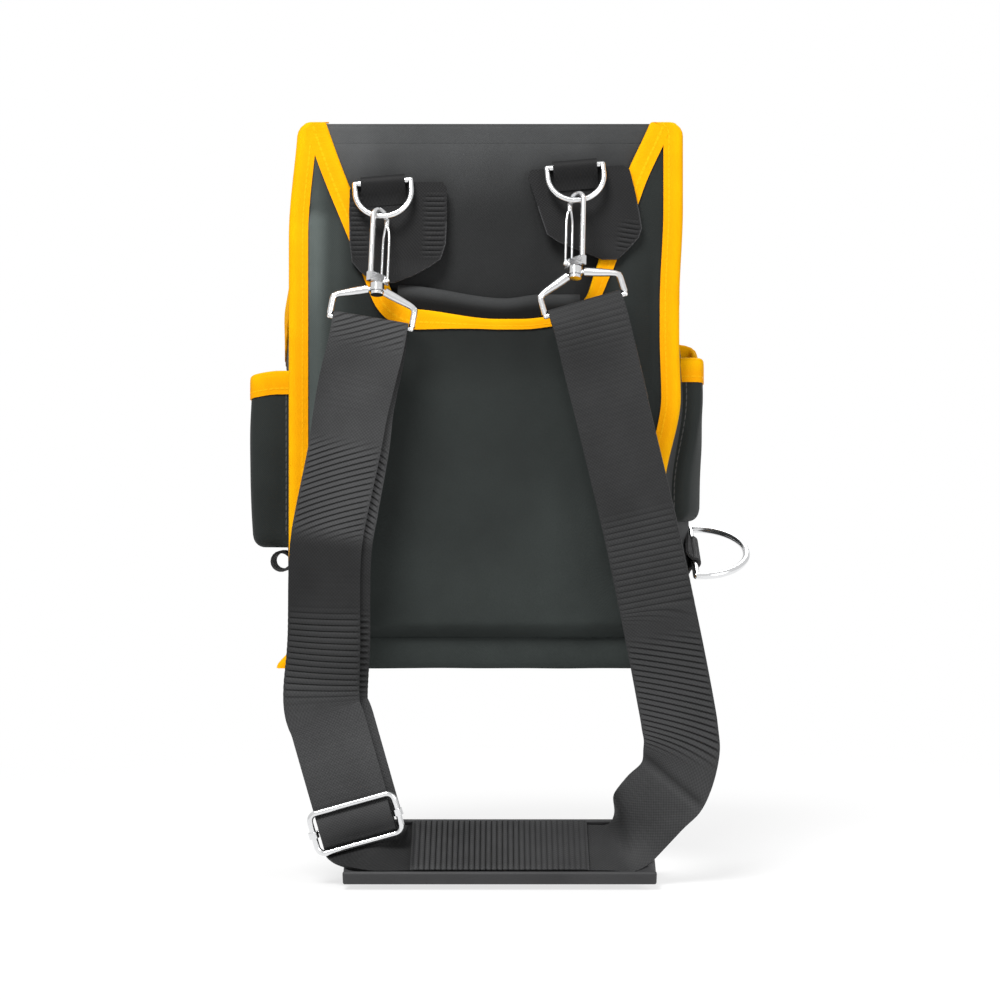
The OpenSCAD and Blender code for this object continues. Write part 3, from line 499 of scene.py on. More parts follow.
def webbing_material(name, dark, light):
    material, tree, shader = new_material(name, dark, 0.6)
    where = coordinates(tree)
    yarn = use_group(tree, weave, UV=where["UV"], Threads_per_metre=WEBBING_THREADS)
    dye = use_group(tree, blotch, Vector=where["Object"], Patch_scale=26.0)
    level = math(tree, "MULTIPLY_ADD", yarn["Height"], 0.4, math(tree, "MULTIPLY", dye["Patches"], 0.7))
    bloom = math(tree, "MULTIPLY_ADD", dye["Fibres"], 0.8, 0.6)
    level = math(tree, "MULTIPLY", level, bloom, clamp=True)
    wear_and_shade = stored(tree, "worn_and_shaded")
    wave = math(tree, "COSINE", math(tree, "MULTIPLY", stored(tree, "phase"), 2 * pi))
    # Painted shade in the grooves and a painted highlight on the crests, as strong as the ribs' wear.
    valley = math(tree, "MULTIPLY", wave, -1.0, clamp=True)
    painted_groove_shade = math(tree, "MULTIPLY", math(tree, "POWER", valley, 2.0), wear_and_shade, clamp=True)
    painted_crest_highlight = math(tree, "MULTIPLY", math(tree, "SUBTRACT", 0.4, valley, clamp=True), wear_and_shade)
    open_share = math(tree, "SUBTRACT", 1.0, painted_groove_shade, clamp=True)
    level = math(tree, "MULTIPLY", math(tree, "ADD", level, painted_crest_highlight), open_share)
    base = blend_colour(tree, painted_groove_shade, dark, tuple(channel * 0.1 for channel in dark))
    tree.links.new(with_painted_light(tree, blend_colour(tree, level, base, light)), shader.inputs["Base Color"])
    tree.links.new(math(tree, "MULTIPLY_ADD", dye["Fibres"], 0.3, 0.45), shader.inputs["Roughness"])
    shader.inputs["Specular IOR Level"].default_value = 0.14
    height = math(tree, "MULTIPLY_ADD", dye["Fibres"], 0.5, yarn["Height"])
    add_bump(tree, shader, math(tree, "MULTIPLY_ADD", painted_groove_shade, -2.0, height), 0.0002, 0.6)
    return material


webbing = webbing_material("black webbing", (0.013, 0.013, 0.0134), (0.050, 0.0505, 0.0515))
patch_webbing = webbing_material("patch webbing", (0.0044, 0.0044, 0.0046), (0.0165, 0.0165, 0.017))
print("webbing materials", webbing.name, patch_webbing.name)

# %% [markdown]
# ### Foam, board and steel
# The pad's tray is matt foam with a fine grain. The stiffening boards only show if the bag is opened up.
# The fittings are plated steel, with faint handling marks in their gloss. All three are one mottled colour
# with a grain in relief, so one function makes them, and each then sets its own gloss.


# %% Mottled materials
def mottled(name, colour, dark, light, roughness, patch_scale, fibre_scale, relief, metallic=0.0):
    material, tree, shader = new_material(name, colour, roughness, metallic)
    dye = use_group(
        tree, blotch, Vector=coordinates(tree)["Object"], Patch_scale=patch_scale, Fibre_scale=fibre_scale,
    )
    tree.links.new(blend_colour(tree, dye["Patches"], dark, light), shader.inputs["Base Color"])
    add_bump(tree, shader, dye["Fibres"], *relief)
    return material, tree, shader, dye


foam, tree, shader, dye = mottled(
    "pad foam", (0.03, 0.03, 0.032), (0.015, 0.015, 0.016), (0.038, 0.038, 0.0395), 0.7, 30.0, 1400.0,
    (0.0001, 0.5),
)
tree.links.new(math(tree, "MULTIPLY_ADD", dye["Fibres"], 0.3, 0.5), shader.inputs["Roughness"])
board = mottled(
    "grey board", (0.1, 0.1, 0.105), (0.08, 0.08, 0.085), (0.14, 0.14, 0.145), 0.6, 60.0, 900.0,
    (0.0001, 0.4),
)[0]
steel, tree, shader, dye = mottled(
    "bright steel", (0.86, 0.865, 0.875), (0.72, 0.725, 0.735), (0.93, 0.935, 0.94), 0.12, 70.0, 1600.0,
    (0.00003, 0.25), metallic=1.0,
)
gloss = math(tree, "MULTIPLY_ADD", dye["Patches"], 0.12, 0.06)
tree.links.new(math(tree, "MULTIPLY_ADD", dye["Fibres"], 0.08, gloss), shader.inputs["Roughness"])
print("materials", len(bpy.data.materials))

# %% [markdown]
# ## Lines to follow
# Much of the bag follows a line: the mouth of a pocket, the plan of a wall, the wire of a gate. A curve
# object could hold it, but then its points would have to be read back. A list of points that is worn round,
# and measured along its length, gives a place and a direction at any share of the way.


# %% Lines with length and direction
def relaxed(points, rounds):
    """The same line with its corners worn round. Its two ends stay where they are."""
    for _ in range(rounds):
        middle = [
            points[k] * 0.5 + (points[k - 1] + points[k + 1]) * 0.25 for k in range(1, len(points) - 1)
        ]
        points = [points[0], *middle, points[-1]]
    return points


def rounded(corners, fine, rounds):
    """A line through corner points, cut into fine steps and then relaxed."""
    line = [a.lerp(b, k / fine) for a, b in zip(corners, corners[1:]) for k in range(fine)]
    return relaxed([*line, corners[-1]], rounds)


def run_of(points):
    """How far along a line each of its points lies."""
    run = [0.0]
    for a, b in zip(points, points[1:]):
        run.append(run[-1] + (b - a).length)
    return run


class Path:
    """A flat line that can be asked for a point and the direction to its left at any share of its length."""

    def __init__(self, points):
        self.points = points
        self.run = run_of(points)
        self.length = self.run[-1]

    def at(self, u):
        far = min(1, max(0, u)) * self.length
        k = 0
        while k < len(self.run) - 2 and self.run[k + 1] < far:
            k += 1
        gap = self.run[k + 1] - self.run[k]
        point = self.points[k].lerp(self.points[k + 1], (far - self.run[k]) / gap)
        before, after = self.points[max(0, k - 1)], self.points[min(len(self.points) - 1, k + 2)]
        along = (after - before).normalized()
        return point, Vector((-along.y, along.x))


square_corner = [Vector((0, 0)), Vector((10, 0)), Vector((10, 10))]
print("a corner of 20 mm, worn round, measures", round(run_of(rounded(square_corner, 8, 4))[-1], 1), "mm")

# %% [markdown]
# ## The outline of the rear
# The rear of a cloth bag is never a true rectangle. Its left edge swells outwards below the top, and its
# right edge draws in where the strap pulls on it. Every piece of the rear follows these two edges, so they
# are functions of the height, and the middle of the panel stays as it is.

# %% Rear outline
PANEL_HALF = 125
PANEL_FOOT = -355
STILL_HALF = 80


def left_edge(z):
    return -124.5 - 6.3 * ease(10, -75, z)


def right_edge(z):
    return 124.8 - 2.4 * ease(-55, -120, z) + ease(-140, -180, z) - 10.6 * ease(-178, -240, z)


def rear_x(x, z):
    """Where a point of the square panel goes on the swelled one."""
    if x < 0:
        return x + (left_edge(z) + PANEL_HALF) * ease(STILL_HALF, PANEL_HALF, -x)
    return x + (right_edge(z) - PANEL_HALF) * ease(STILL_HALF, PANEL_HALF, x)


print("rear", round(right_edge(0) - left_edge(0)), "mm wide at the top,", -PANEL_FOOT, "mm tall")

# %% [markdown]
# ## The mouth of the rear pocket
# The pocket's mouth dips from both top corners to a level foot, with a rounded turn on each side. It was
# cut even, but the cloth has given way: the foot sags to the right of its middle, and the right slope leans
# in. So an even line is drawn first, and its points are then moved by the sag and the lean that the
# photograph shows.

# %% Mouth line
MOUTH_TOP = -0.5
MOUTH_FOOT = -124
MOUTH_SIDE = 47
MOUTH_ROUND = 20
MOUTH_SLOPE = (-47.4, 121)
RIGHT_LEAN = ((0, 3.1), (-36, 5.4), (-58, 4.8), (-80, 3), (-96, 1.4), (-112, 0.4), (-124, 1))


def even_mouth():
    """Points down the left slope of the mouth, round its corner and along its foot, then up the right."""
    slope = Vector(MOUTH_SLOPE).normalized()
    normal = Vector((-slope.y, slope.x))
    centre = Vector((-MOUTH_SIDE, MOUTH_ROUND + MOUTH_FOOT))
    turn_start = atan2(normal.y, normal.x) % (2 * pi)
    tangent = centre + MOUTH_ROUND * normal
    start = tangent + slope * ((MOUTH_TOP - tangent.y) / slope.y)
    points = [start.lerp(tangent, k / 24) for k in range(24)]
    for k in range(13):
        angle = mix(turn_start, 1.5 * pi, k / 12)
        points.append(centre + MOUTH_ROUND * Vector((cos(angle), sin(angle))))
    points += [Vector((mix(-MOUTH_SIDE, 0, k / 12), MOUTH_FOOT)) for k in range(1, 13)]
    return points + [Vector((-p.x, p.y)) for p in reversed(points[:-1])]


def given_way(point):
    """The foot sags to the right of its middle. The right slope leans in at its top and is steeper below."""
    sag = -6.6 * ease(-55, 5, point.x) * ease(75, 20, point.x) * ease(-80, -112, point.y)
    return Vector((point.x - level_at(RIGHT_LEAN, point.y) * ease(0, 40, point.x), point.y + sag))


MOUTH = [given_way(point) for point in even_mouth()]


def mouth_z(x):
    """Height of the pocket's top edge: the mouth, or the very top where the wings reach it."""
    for a, b in zip(MOUTH, MOUTH[1:]):
        if a.x <= x <= b.x and b.x > a.x:
            return mix(a.y, b.y, (x - a.x) / (b.x - a.x))
    return MOUTH_TOP


print("mouth", len(MOUTH), "points, lowest at", round(min(point.y for point in MOUTH)), "mm")

# %% [markdown]
# ## Back panel
# The back is two cloths over a stiff board. The rear cloth has a few soft pulls where the patches are sewn
# on, and painted light on its top, most of all at the left, with painted shade below and at the top right.
# Cloth simulation could draw such pulls, but not where the photograph has them, so they are creases in the
# sheet's place, and the painted light and shade is a number stored on each point.

# %% Back panel
BACK_THICK = 2.6
BACK_AT = -1.9
UNDER_HEM = 0.6


def back_place(u, v):
    x, z = mix(-119, 119, u), mix(-353.5, -1.2, v)
    dip = (crease(x, 74, 9, 0.9) + crease(x, 93, 7, 1.1)) * ease(-50, -24, z) * ease(-13, -20, z)
    pull = 0.3 * ripple(x, 0, z, 60, 1) * ease(-16, -40, z)
    return rear_x(x, z), BACK_AT + dip + pull + UNDER_HEM * ease(-15.5, -13.5, z), z


def painted_top_light(place):
    """Painted light on the top of the back, most of all at its left, and painted shade below and at the top
    right.
    """
    x, _, z = place / MM
    left = 0.14 * ease(20, -80, x) * ease(-80, -10, z) + 0.55 * ease(-66, -90, x) * ease(-85, -25, z)
    return 0.06 + left - 0.2 * ease(55, 80, x) * ease(-60, -10, z) - 0.7 * ease(-6, -62, z)


back = sheet("back_panel_cloth", 90, 110, back_place, 238, 352)
paint_light_by(back, painted_top_light)
thicken(back, BACK_THICK)
finish_piece(back, cloth, "bag", "cloth", "back_panel")

# %% [markdown]
# ## Board and lining of the back
# A thin board keeps the back flat, and a lining closes it towards the compartment. Neither shows from
# behind. Both are plain sheets that follow the rear outline, so one function cuts them, a little smaller
# than the back itself.

# %% Board and lining
LAYER_THICK = 1.4


def back_layer(name, columns, half, foot, top, y, tall):
    def place(u, v):
        z = mix(foot, top, v)
        return rear_x(mix(-half, half, u), z), y, z

    piece = sheet(name, columns, 60, place, 2 * half, tall)
    thicken(piece, LAYER_THICK)
    return piece


stiffener = back_layer("back_board_sheet", 24, 117, -351, -6, 0.8, 345)
finish_piece(stiffener, board, "bag", "board", "back_board")
lining = back_layer("back_lining_cloth", 40, 118, -352, -1.5, 2.3, 350)
finish_piece(lining, lining_cloth, "bag", "cloth", "back_lining")

# %% [markdown]
# ## Folded tape
# Binding tape is a flat strip folded over a raw edge and sewn through. Across its width it runs down one
# face, round the edge and down the other. A bevelled curve would twist at the corners, so that profile is
# swept along the edge by hand, with the direction into the cloth given at every step. Sewing puckers it a
# little.

# %% Tape along an edge
TAPE_EASE = 0.12
PUCKER_PITCH = 7.2
PINCH = 0.1


def fold(cloth_thick, tape_thick):
    """(share of the depth into the cloth, distance out of it) across a folded tape."""
    bend = cloth_thick / 2 + tape_thick / 2 + TAPE_EASE
    face = [(1 - k / 5, bend) for k in range(5)]
    turn = [(-bend * sin(pi * k / 8), bend * cos(pi * k / 8)) for k in range(9)]
    inside = [(k / 3, -bend) for k in range(1, 4)]
    return face + turn + inside


def tape_along(
    name, edge, into, out, length, width, back_width, cloth_thick,
    tape_thick=1.0, step=2.6, pucker=0.18, pinched=False,
):
    """Folds a tape over an edge. Its width is one number, or a function of the share along the edge."""
    profile = fold(cloth_thick, tape_thick)
    rows = len(profile) - 1

    def wide(u):
        return width(u) if callable(width) else width

    def place(u, v):
        depth, off = profile[round(v * rows)]
        if depth > 0:
            depth *= wide(u) if off > 0 else back_width
        wave = sin(2 * pi * u * length / PUCKER_PITCH) * (1 if off > 0 else -1)
        lift = pucker * wave * ease(0, 3, depth)
        if pinched and u > 0.999:
            off, lift = PINCH * off, 0
        return Vector(edge(u)) + depth * Vector(into(u)) + (off + lift) * Vector(out(u))

    piece = sheet(name, max(8, int(length / step)), rows, place, length, wide(0.5) + back_width + 3)
    thicken(piece, tape_thick)
    return piece


def rearward(u):
    return 0, -1, 0


def downward(u):
    return 0, 0, -1


print("a folded tape has", len(fold(1, 1)), "points across")

# %% [markdown]
# ## Top hem
# One strip of the same cloth is folded over the top of everything, which keeps that edge straight and gives
# the bag its hanging edge. It is a tape like the others, only thinner and hardly puckered.

# %% Top hem
hem = tape_along(
    "top_hem_cloth", lambda u: (mix(-111, 112, u), 0, -4.2), downward, rearward, 223, 9.5, 9, 4.7,
    tape_thick=0.35, pucker=0.03,
)
# Painted light on the hem, the same as on the top of the back.
paint_light_by(hem, painted_top_light)
finish_piece(hem, cloth, "bag", "cloth", "top_hem")

# %% [markdown]
# ## Rear pocket
# One wide sheet covers the rear below the dipped mouth and runs up both sides as narrow wings. It stands
# off the back like a shallow tray, and lies flat again along the sewn hem at its foot. The grid's top row
# follows the mouth, so nothing has to be cut out of it.

# %% Rear pocket sheet
POCKET_AT = -3.9
POCKET_SWELL = 11
POCKET_SEAM = -335
SEAM_TUCK = 0.8
WING_FROM = 107.5


def pocket_y(x, z):
    """Middle of the rear pocket's cloth: flush at the sides, full below the mouth, flat at the foot."""
    fall = min(1, max(0, (-16 - z) / 165))
    off_side = abs(x)
    swell = POCKET_SWELL * fall * ease(-337, -325, z) * ease(108, 86, off_side)
    wing = 1.6 * ease(-70, -110, z) * ease(-330, -250, z) * ease(108, 100, off_side) * ease(80, 96, off_side)
    return POCKET_AT - swell - wing


def pocket_place(u, v):
    x = mix(-119.5, 119.5, u)
    top = mouth_z(x) if abs(x) < WING_FROM else -0.8
    z = mix(PANEL_FOOT + 1, top - SEAM_TUCK, v)
    wing_pulls = (crease(z, -57, 5, 1.4) - crease(z, -66, 8, 0.7)) * ease(-98, -112, x)
    free = ease(PANEL_FOOT, -320, z) * ease(112, 104, abs(x)) * ease(top, top - 24, z)
    uneven = 0.7 * ripple(x, 0, z, 75, 3) * free
    return rear_x(x, z), pocket_y(x, z) + crease(z, POCKET_SEAM, 2.4, 0.8) + wing_pulls + uneven, z


pocket = sheet("rear_pocket_cloth", 150, 130, pocket_place, 247, 300)
print("pocket foot to wing top", round(CUT["rear_pocket_cloth"][1] / MM), "mm")

# %% [markdown]
# ### Painted light and hem of the rear pocket
# The left wing has a painted highlight, the cloth under the mouth and the right wing have painted shade, and
# the foot and its hem are painted lighter. The foot is turned up in a round hem, which is a second strip of
# the same cloth, so it is joined to the pocket and counted in the length that it is cut from.

# %% Pocket painted light and hem
POCKET_WIDE = 245
HEM_LONG = 220
HEM_LIGHTER = 0.45
WING_HIGHLIGHT = ((-20, 0.5), (-56, 0.5), (-66, 1), (-112, 1), (-150, 0.85), (-260, 0.6), (-330, 0))


def pocket_painted_light(place):
    """A painted highlight on the left wing, painted shade under the mouth and on the right wing, and a
    lighter foot.
    """
    x, _, z = place / MM
    wing = (0.7 * ease(-90, -100, x) + 2.7 * ease(-103, -113, x)) * level_at(WING_HIGHLIGHT, z)
    centre = -0.4 * ease(-190, -140, z) * ease(90, 70, abs(x)) + 0.2 * ease(20, 45, x) * ease(80, 60, x)
    return wing + centre - 0.22 * ease(80, 90, x) + 0.25 * ease(-220, -310, z)


def hem_place(u, v):
    z = mix(-354.6, POCKET_SEAM - 0.5, v) + 0.4 * ripple(HEM_LONG * u, 0, 0, 40, 2)
    return rear_x(mix(-HEM_LONG / 2, HEM_LONG / 2, u), -345), -4.9 - 1.6 * sin(pi * v) ** 0.5, z


paint_light_by(pocket, pocket_painted_light)
thicken(pocket, 1.5)
pocket_hem = sheet("pocket_hem", 100, 10, hem_place, HEM_LONG, 20)
paint_light_by(pocket_hem, lambda place: HEM_LIGHTER)
thicken(pocket_hem, 1.4)
_, hem_tall, hem_area = CUT["pocket_hem"]
_, pocket_tall, pocket_area = CUT["rear_pocket_cloth"]
CUT["rear_pocket_cloth"] = POCKET_WIDE * MM, pocket_tall + hem_tall, pocket_area + hem_area
join(pocket, pocket_hem)
finish_piece(pocket, pocket_cloth, "bag", "cloth", "rear_pocket")

# %% [markdown]
# ## Inner sheet of the rear pocket
# A sheet of the charcoal cloth rises out of the pocket's mouth and rolls back on itself there. Below its
# roll it is painted nearly black, as painted shade in the gap above the tape. Its lower part lies behind the
# pocket's cloth, and its top turns through rather more than half a circle, so the roll is drawn as an arc.

# %% Inner sheet
ROLL = 2.6
ROLL_FROM = 0.6
ROLL_TURN = 1.25 * pi
inner_rows = []


def inner_place(u, v):
    inner_rows.append(v)
    x = mix(-60, 58, u)
    top = -107 - 8.5 * ease(-58, 10, x) + 2.5 * ease(10, 32, x)
    turned = max(0, (v - ROLL_FROM) / (1 - ROLL_FROM)) * ROLL_TURN
    z = mix(-172, top - ROLL, min(1, v / ROLL_FROM)) + ROLL * sin(turned)
    return x, pocket_y(x, z) + 2.2 + ROLL * (1 - cos(turned)) - 2.4 * ease(0.42, ROLL_FROM, v), z


inner_sheet = sheet("rear_pocket_inner", 60, 40, inner_place, 118, 75)
# Painted shade: much darker below the roll, and only a little darker on the roll itself.
mark(inner_sheet, "light_and_shade", [mix(-0.9, -0.15, ease(0.53, ROLL_FROM, v)) for v in inner_rows])
thicken(inner_sheet, 0.9)
finish_piece(inner_sheet, cloth, "bag", "cloth", "rear_pocket_lining")

# %% [markdown]
# ## Tape round the mouth
# The yellow tape binds the mouth from one top corner to the other. It follows the pocket's cloth, which
# stands off the back, so the way into the cloth is found by taking a short step across it. Along the foot
# less of it shows.

# %% Mouth tape
INTO_STEP = 6
mouth_line = Path(MOUTH)


def on_pocket(x, z):
    return Vector((rear_x(x, z), pocket_y(x, z), z))


def mouth_edge(u):
    return on_pocket(*mouth_line.at(u)[0])


def mouth_into(u):
    here, out = mouth_line.at(u)
    return (on_pocket(*(here - INTO_STEP * out)) - mouth_edge(u)).normalized()


def mouth_width(u):
    x = mouth_line.at(u)[0].x
    return 11.8 - 6.8 * ease(-55, 0, x) * ease(84, 55, x)


mouth_tape = tape_along(
    "rear_mouth_tape", mouth_edge, mouth_into, rearward, mouth_line.length, mouth_width, 9, 1.6,
)
for point in mouth_tape.data.vertices:
    point.co.z = min(point.co.z, -0.6 * MM)
finish_piece(mouth_tape, tape, "bag", "binding", "rear_mouth_binding")

# %% [markdown]
# ## Tapes down the two long edges
# A tape closes each long edge of the back over all its layers. At the top its end is turned in round the
# corner and pressed flat, and at the left foot it flares out. One function makes both, with the way in as 1
# or -1.

# %% Edge tapes
EDGE_FOLD = 4.3
EDGE_CORNER = 9
LEFT_FLARE = 8
LAST_BUT_ONE = 135 / 136


def edge_tape(name, edge, inward, node):
    def at(u):
        z = mix(PANEL_FOOT, -1.1, min(1, u / LAST_BUT_ONE)) + 0.9 * ease(LAST_BUT_ONE, 1, u)
        up_corner = max(0, (z + EDGE_CORNER) / EDGE_CORNER)
        corner = EDGE_CORNER * (1 - sqrt(max(0, 1 - up_corner ** 2)))
        flare = LEFT_FLARE * ease(-343, PANEL_FOOT, z) if inward > 0 else 0
        return edge(z) + (EDGE_FOLD + corner - flare) * inward, -0.9, z

    piece = tape_along(name, at, lambda u: (inward, 0, 0), rearward, 355, 8.2, 5, 7.4, pinched=True)
    return finish_piece(piece, tape, "bag", "binding", node)


edge_tape("left_edge_tape", left_edge, 1, "left_edge_binding")
edge_tape("right_edge_tape", right_edge, -1, "right_edge_binding")

# %% [markdown]
# ## Plan of the compartment
# One long cloth goes round the two sides and the front, like the wall of a bucket. Seen from above, its
# sides and front are shallow bows with rounded corners between them, so the plan is three bows in a row,
# worn round.

# %% Plan of the compartment
WALL_HALF = 120
WALL_BACK = 4.0
WALL_FRONT = 108
SIDE_SWELL = 10.2
FRONT_SWELL = 11.2
BOW_MIDDLE = (WALL_BACK + WALL_FRONT) / 2
BOW_HALF = (WALL_FRONT - WALL_BACK) / 2


def side_bow(y):
    return SIDE_SWELL * (1 - ((y - BOW_MIDDLE) / BOW_HALF) ** 2)


def front_bow(x):
    return FRONT_SWELL * (1 - (x / WALL_HALF) ** 2)


def wall_plan():
    """Points of the wall's plan from the left edge of the back, round the front, to the right."""
    depths = [mix(WALL_BACK, WALL_FRONT, k / 32) for k in range(33)]
    side = [Vector((-WALL_HALF - side_bow(y), y)) for y in depths]
    across = [mix(-WALL_HALF, WALL_HALF, k / 64) for k in range(1, 64)]
    front = [Vector((x, WALL_FRONT + front_bow(x))) for x in across]
    return relaxed(side + front + [Vector((-p.x, p.y)) for p in reversed(side)], 14)


wall_line = Path(wall_plan())
print("wall length", round(wall_line.length), "mm")

# %% [markdown]
# ## Rim and lean of the wall
# The wall's back corners follow the rear outline. Its rim falls to the front, hangs slack on the left and
# is drawn in on the right, and the wall leans after it. The rim, the wall and the pockets all have to agree
# on this, so each part of it is a function of the place in the plan.

# %% Rim and lean
RIM_BACK = -97
RIM_FRONT = -133
WALL_SEAM = PANEL_FOOT + 5.2


def skew(x, y, z):
    """The back corners of the wall follow the rear outline. The rest of it doesn't."""
    share = ease(60, 0, y)
    return (left_edge(z) + PANEL_HALF) * share if x < 0 else (right_edge(z) - PANEL_HALF) * share


def skewed(point, z, height=None):
    """A point of the plan at one height of the outline, put at that height or at another one."""
    return point.x + skew(point.x, point.y, z), point.y, z if height is None else height


def rim_bulge(flat):
    """How far the slack rim falls outwards on the left side, or is drawn in on the right."""
    if flat.x < 0:
        return 4.5 * ease(14, 50, flat.y) * ease(112, 96, flat.y)
    return -9.0 * ease(8, 40, flat.y) * ease(112, 90, flat.y)


def rim_z(flat):
    """The rim falls to the front, and it is slack on the left side and in the middle of the front."""
    y = min(flat.y, WALL_FRONT)
    straight = mix(RIM_BACK, RIM_FRONT, (y - WALL_BACK) / (WALL_FRONT - WALL_BACK))
    slack_side = 12 * ease(6, 42, y) * ease(108, 62, y) if flat.x < 0 else 0
    slack_front = 2.5 * ease(108, 112, flat.y) * (1 - (flat.x / WALL_HALF) ** 2)
    return straight - slack_side - slack_front


def wall_lean(flat, z):
    """How far the wall leans out or in at one height, on its way up to the rim."""
    t = (z - WALL_SEAM) / (rim_z(flat) - SEAM_TUCK - WALL_SEAM)
    return rim_bulge(flat) * (ease(0.74, 0.87, t) if flat.x < 0 else ease(0.7, 1, t))


left_middle = Vector((-WALL_HALF, BOW_MIDDLE))
print("rim at the middle of the left side", round(rim_z(left_middle)), "mm, out by", rim_bulge(left_middle))

# %% [markdown]
# ## Compartment wall
# The wall bellies out below a rim that is held in by its tape, with slow folds in it. At the foot it is
# turned under, where the base is sewn in. One grid does all of it: its first rows lie flat, the next ones
# go round the bend, and the rest climb to the rim. Each point stores its distance from the foot's seam for
# the row of stitches.

# %% Compartment wall
FLAT_END = 0.06
BEND_END = 0.12
BEND = 1.5
UNDER = 16
FOOT_LIFT = 1.2
WALL_OUT = 1.2
foot_seam = []


def wall_place(u, v):
    flat, out = wall_line.at(u)
    if v < FLAT_END:
        inset, z = mix(UNDER, BEND, v / FLAT_END), PANEL_FOOT + FOOT_LIFT
    elif v < BEND_END:
        turn = (v - FLAT_END) / (BEND_END - FLAT_END) * pi / 2
        inset, z = BEND * (1 - sin(turn)), PANEL_FOOT + FOOT_LIFT + 4 * (1 - cos(turn))
    else:
        t = (v - BEND_END) / (1 - BEND_END)
        z = mix(WALL_SEAM, rim_z(flat) - SEAM_TUCK, t)
        belly = 2.2 * sin(pi * min(1, t * 1.1)) * ease(0, 0.06, u) * ease(1, 0.94, u) + wall_lean(flat, z)
        folds = 1.1 * ripple(flat.x, flat.y, z, 55, 5) + 0.8 * ripple(flat.x, flat.y, z / 3, 24, 6)
        inset = -belly - folds * ease(0, 0.1, u) * ease(1, 0.9, u) * ease(1, 0.88, t)
    foot_seam.append((z - PANEL_FOOT - 4) * MM)
    return skewed(flat + out * (WALL_OUT - inset), z)


wall = sheet("compartment_wall", 190, 70, wall_place, wall_line.length, 260)
mark(wall, "from_edge", foot_seam)
thicken(wall, 2.2)
finish_piece(wall, cloth, "bag", "cloth", "left_side_wall", "right_side_wall", "front_wall")

# %% [markdown]
# ## Base and its board
# The base closes the wall at the foot, and a stiff board lies on it inside. Both have the wall's plan,
# bowed at the sides and the front, so the board asks for the base's own places, a little in from its edges.


# %% Base and its board
def base_place(u, v):
    y = mix(4.5, 106, v)
    half = WALL_HALF - 3 + side_bow(y) - 14 * ease(0.9, 1, v)
    x = mix(-half, half, u)
    return x + skew(x, y, PANEL_FOOT), y + FRONT_SWELL * v * (1 - (x / half) ** 2), PANEL_FOOT + 2.6


def floor_board_place(u, v):
    x, y, z = base_place(mix(0.02, 0.98, u), mix(0.03, 0.95, v))
    return x, y, z + 1.4


base = sheet("base_cloth", 60, 40, base_place, 250, 115)
thicken(base, 2.0, 1.0)
finish_piece(base, cloth, "bag", "cloth", "base_panel")
floor_board = sheet("base_board_sheet", 40, 24, floor_board_place, 240, 100)
thicken(floor_board, 1.8)
finish_piece(floor_board, board, "bag", "board", "base_board")

# %% [markdown]
# ## Tape round the rim
# One tape binds the whole rim of the wall, and shows widest where the left side is slack. The wall leans
# below it, so the way into the cloth is taken from the wall's own surface just under the rim.

# %% Rim tape
UNDER_RIM = 0.93


def level_out(line, u):
    """The outward direction of a plan line, laid level."""
    out = line.at(u)[1]
    return out.x, out.y, 0


def rim_edge(u):
    flat, out = wall_line.at(u)
    return skewed(flat + out * (WALL_OUT + rim_bulge(flat)), rim_z(flat))


def rim_into(u):
    return (Vector(wall_place(u, UNDER_RIM)) - Vector(rim_edge(u))).normalized()


def rim_width(u):
    return 15.5 + 2.8 * max(0, rim_bulge(wall_line.at(u)[0]))


rim_tape = tape_along(
    "rim_tape", rim_edge, rim_into, lambda u: level_out(wall_line, u), wall_line.length, rim_width, 12, 2.6,
    step=2.4, pucker=0.25,
)
finish_piece(rim_tape, tape, "bag", "binding", "left_rim_binding", "right_rim_binding", "front_rim_binding")

# %% [markdown]
# ## Ends of a pocket
# Every pocket of the bag is a cloth bent into a U, with its two ends sewn to the wall behind. The wall
# leans, so the ends have to go with it, and the mouth is often sewn higher at its ends than it hangs
# between them. The pocket's cloth and its tape both need these two rules, so they come first.


# %% Ends of a pocket
def sewn_end(flat, u, z):
    """Moves the two ends of a pocket with the leaning wall that they are sewn to."""
    share = ease(0.14, 0, u) + ease(0.86, 1, u)
    return share * wall_lean(flat, z) * (-1 if flat.x < 0 else 1)


def end_rise(u, lifts):
    """How much higher a pocket's mouth is sewn at its two ends than in its middle."""
    return lifts[0] * ease(0.3, 0.06, u) + lifts[1] * ease(0.7, 0.94, u)


print("ends lifted by 10 mm raise the mouth a tenth of the way in by", round(end_rise(0.1, (10, 10)), 1))

# %% [markdown]
# ## Pocket builder
# The foot of a pocket is closed by its own cloth turned under. One builder makes all the pockets: it is
# given the U, and the line on the wall that the foot runs to. Like the wall, its grid lies flat at first,
# then goes round the bend and then climbs to the mouth. The two upright seams get their row of stitches
# from the stored distance to the ends.

# %% Pocket builder
FOOT_TURN = 7.0
UNDER_END = 0.16
TURN_END = 0.3
POCKET_THICK = 1.8
NO_SEAM = 0.1


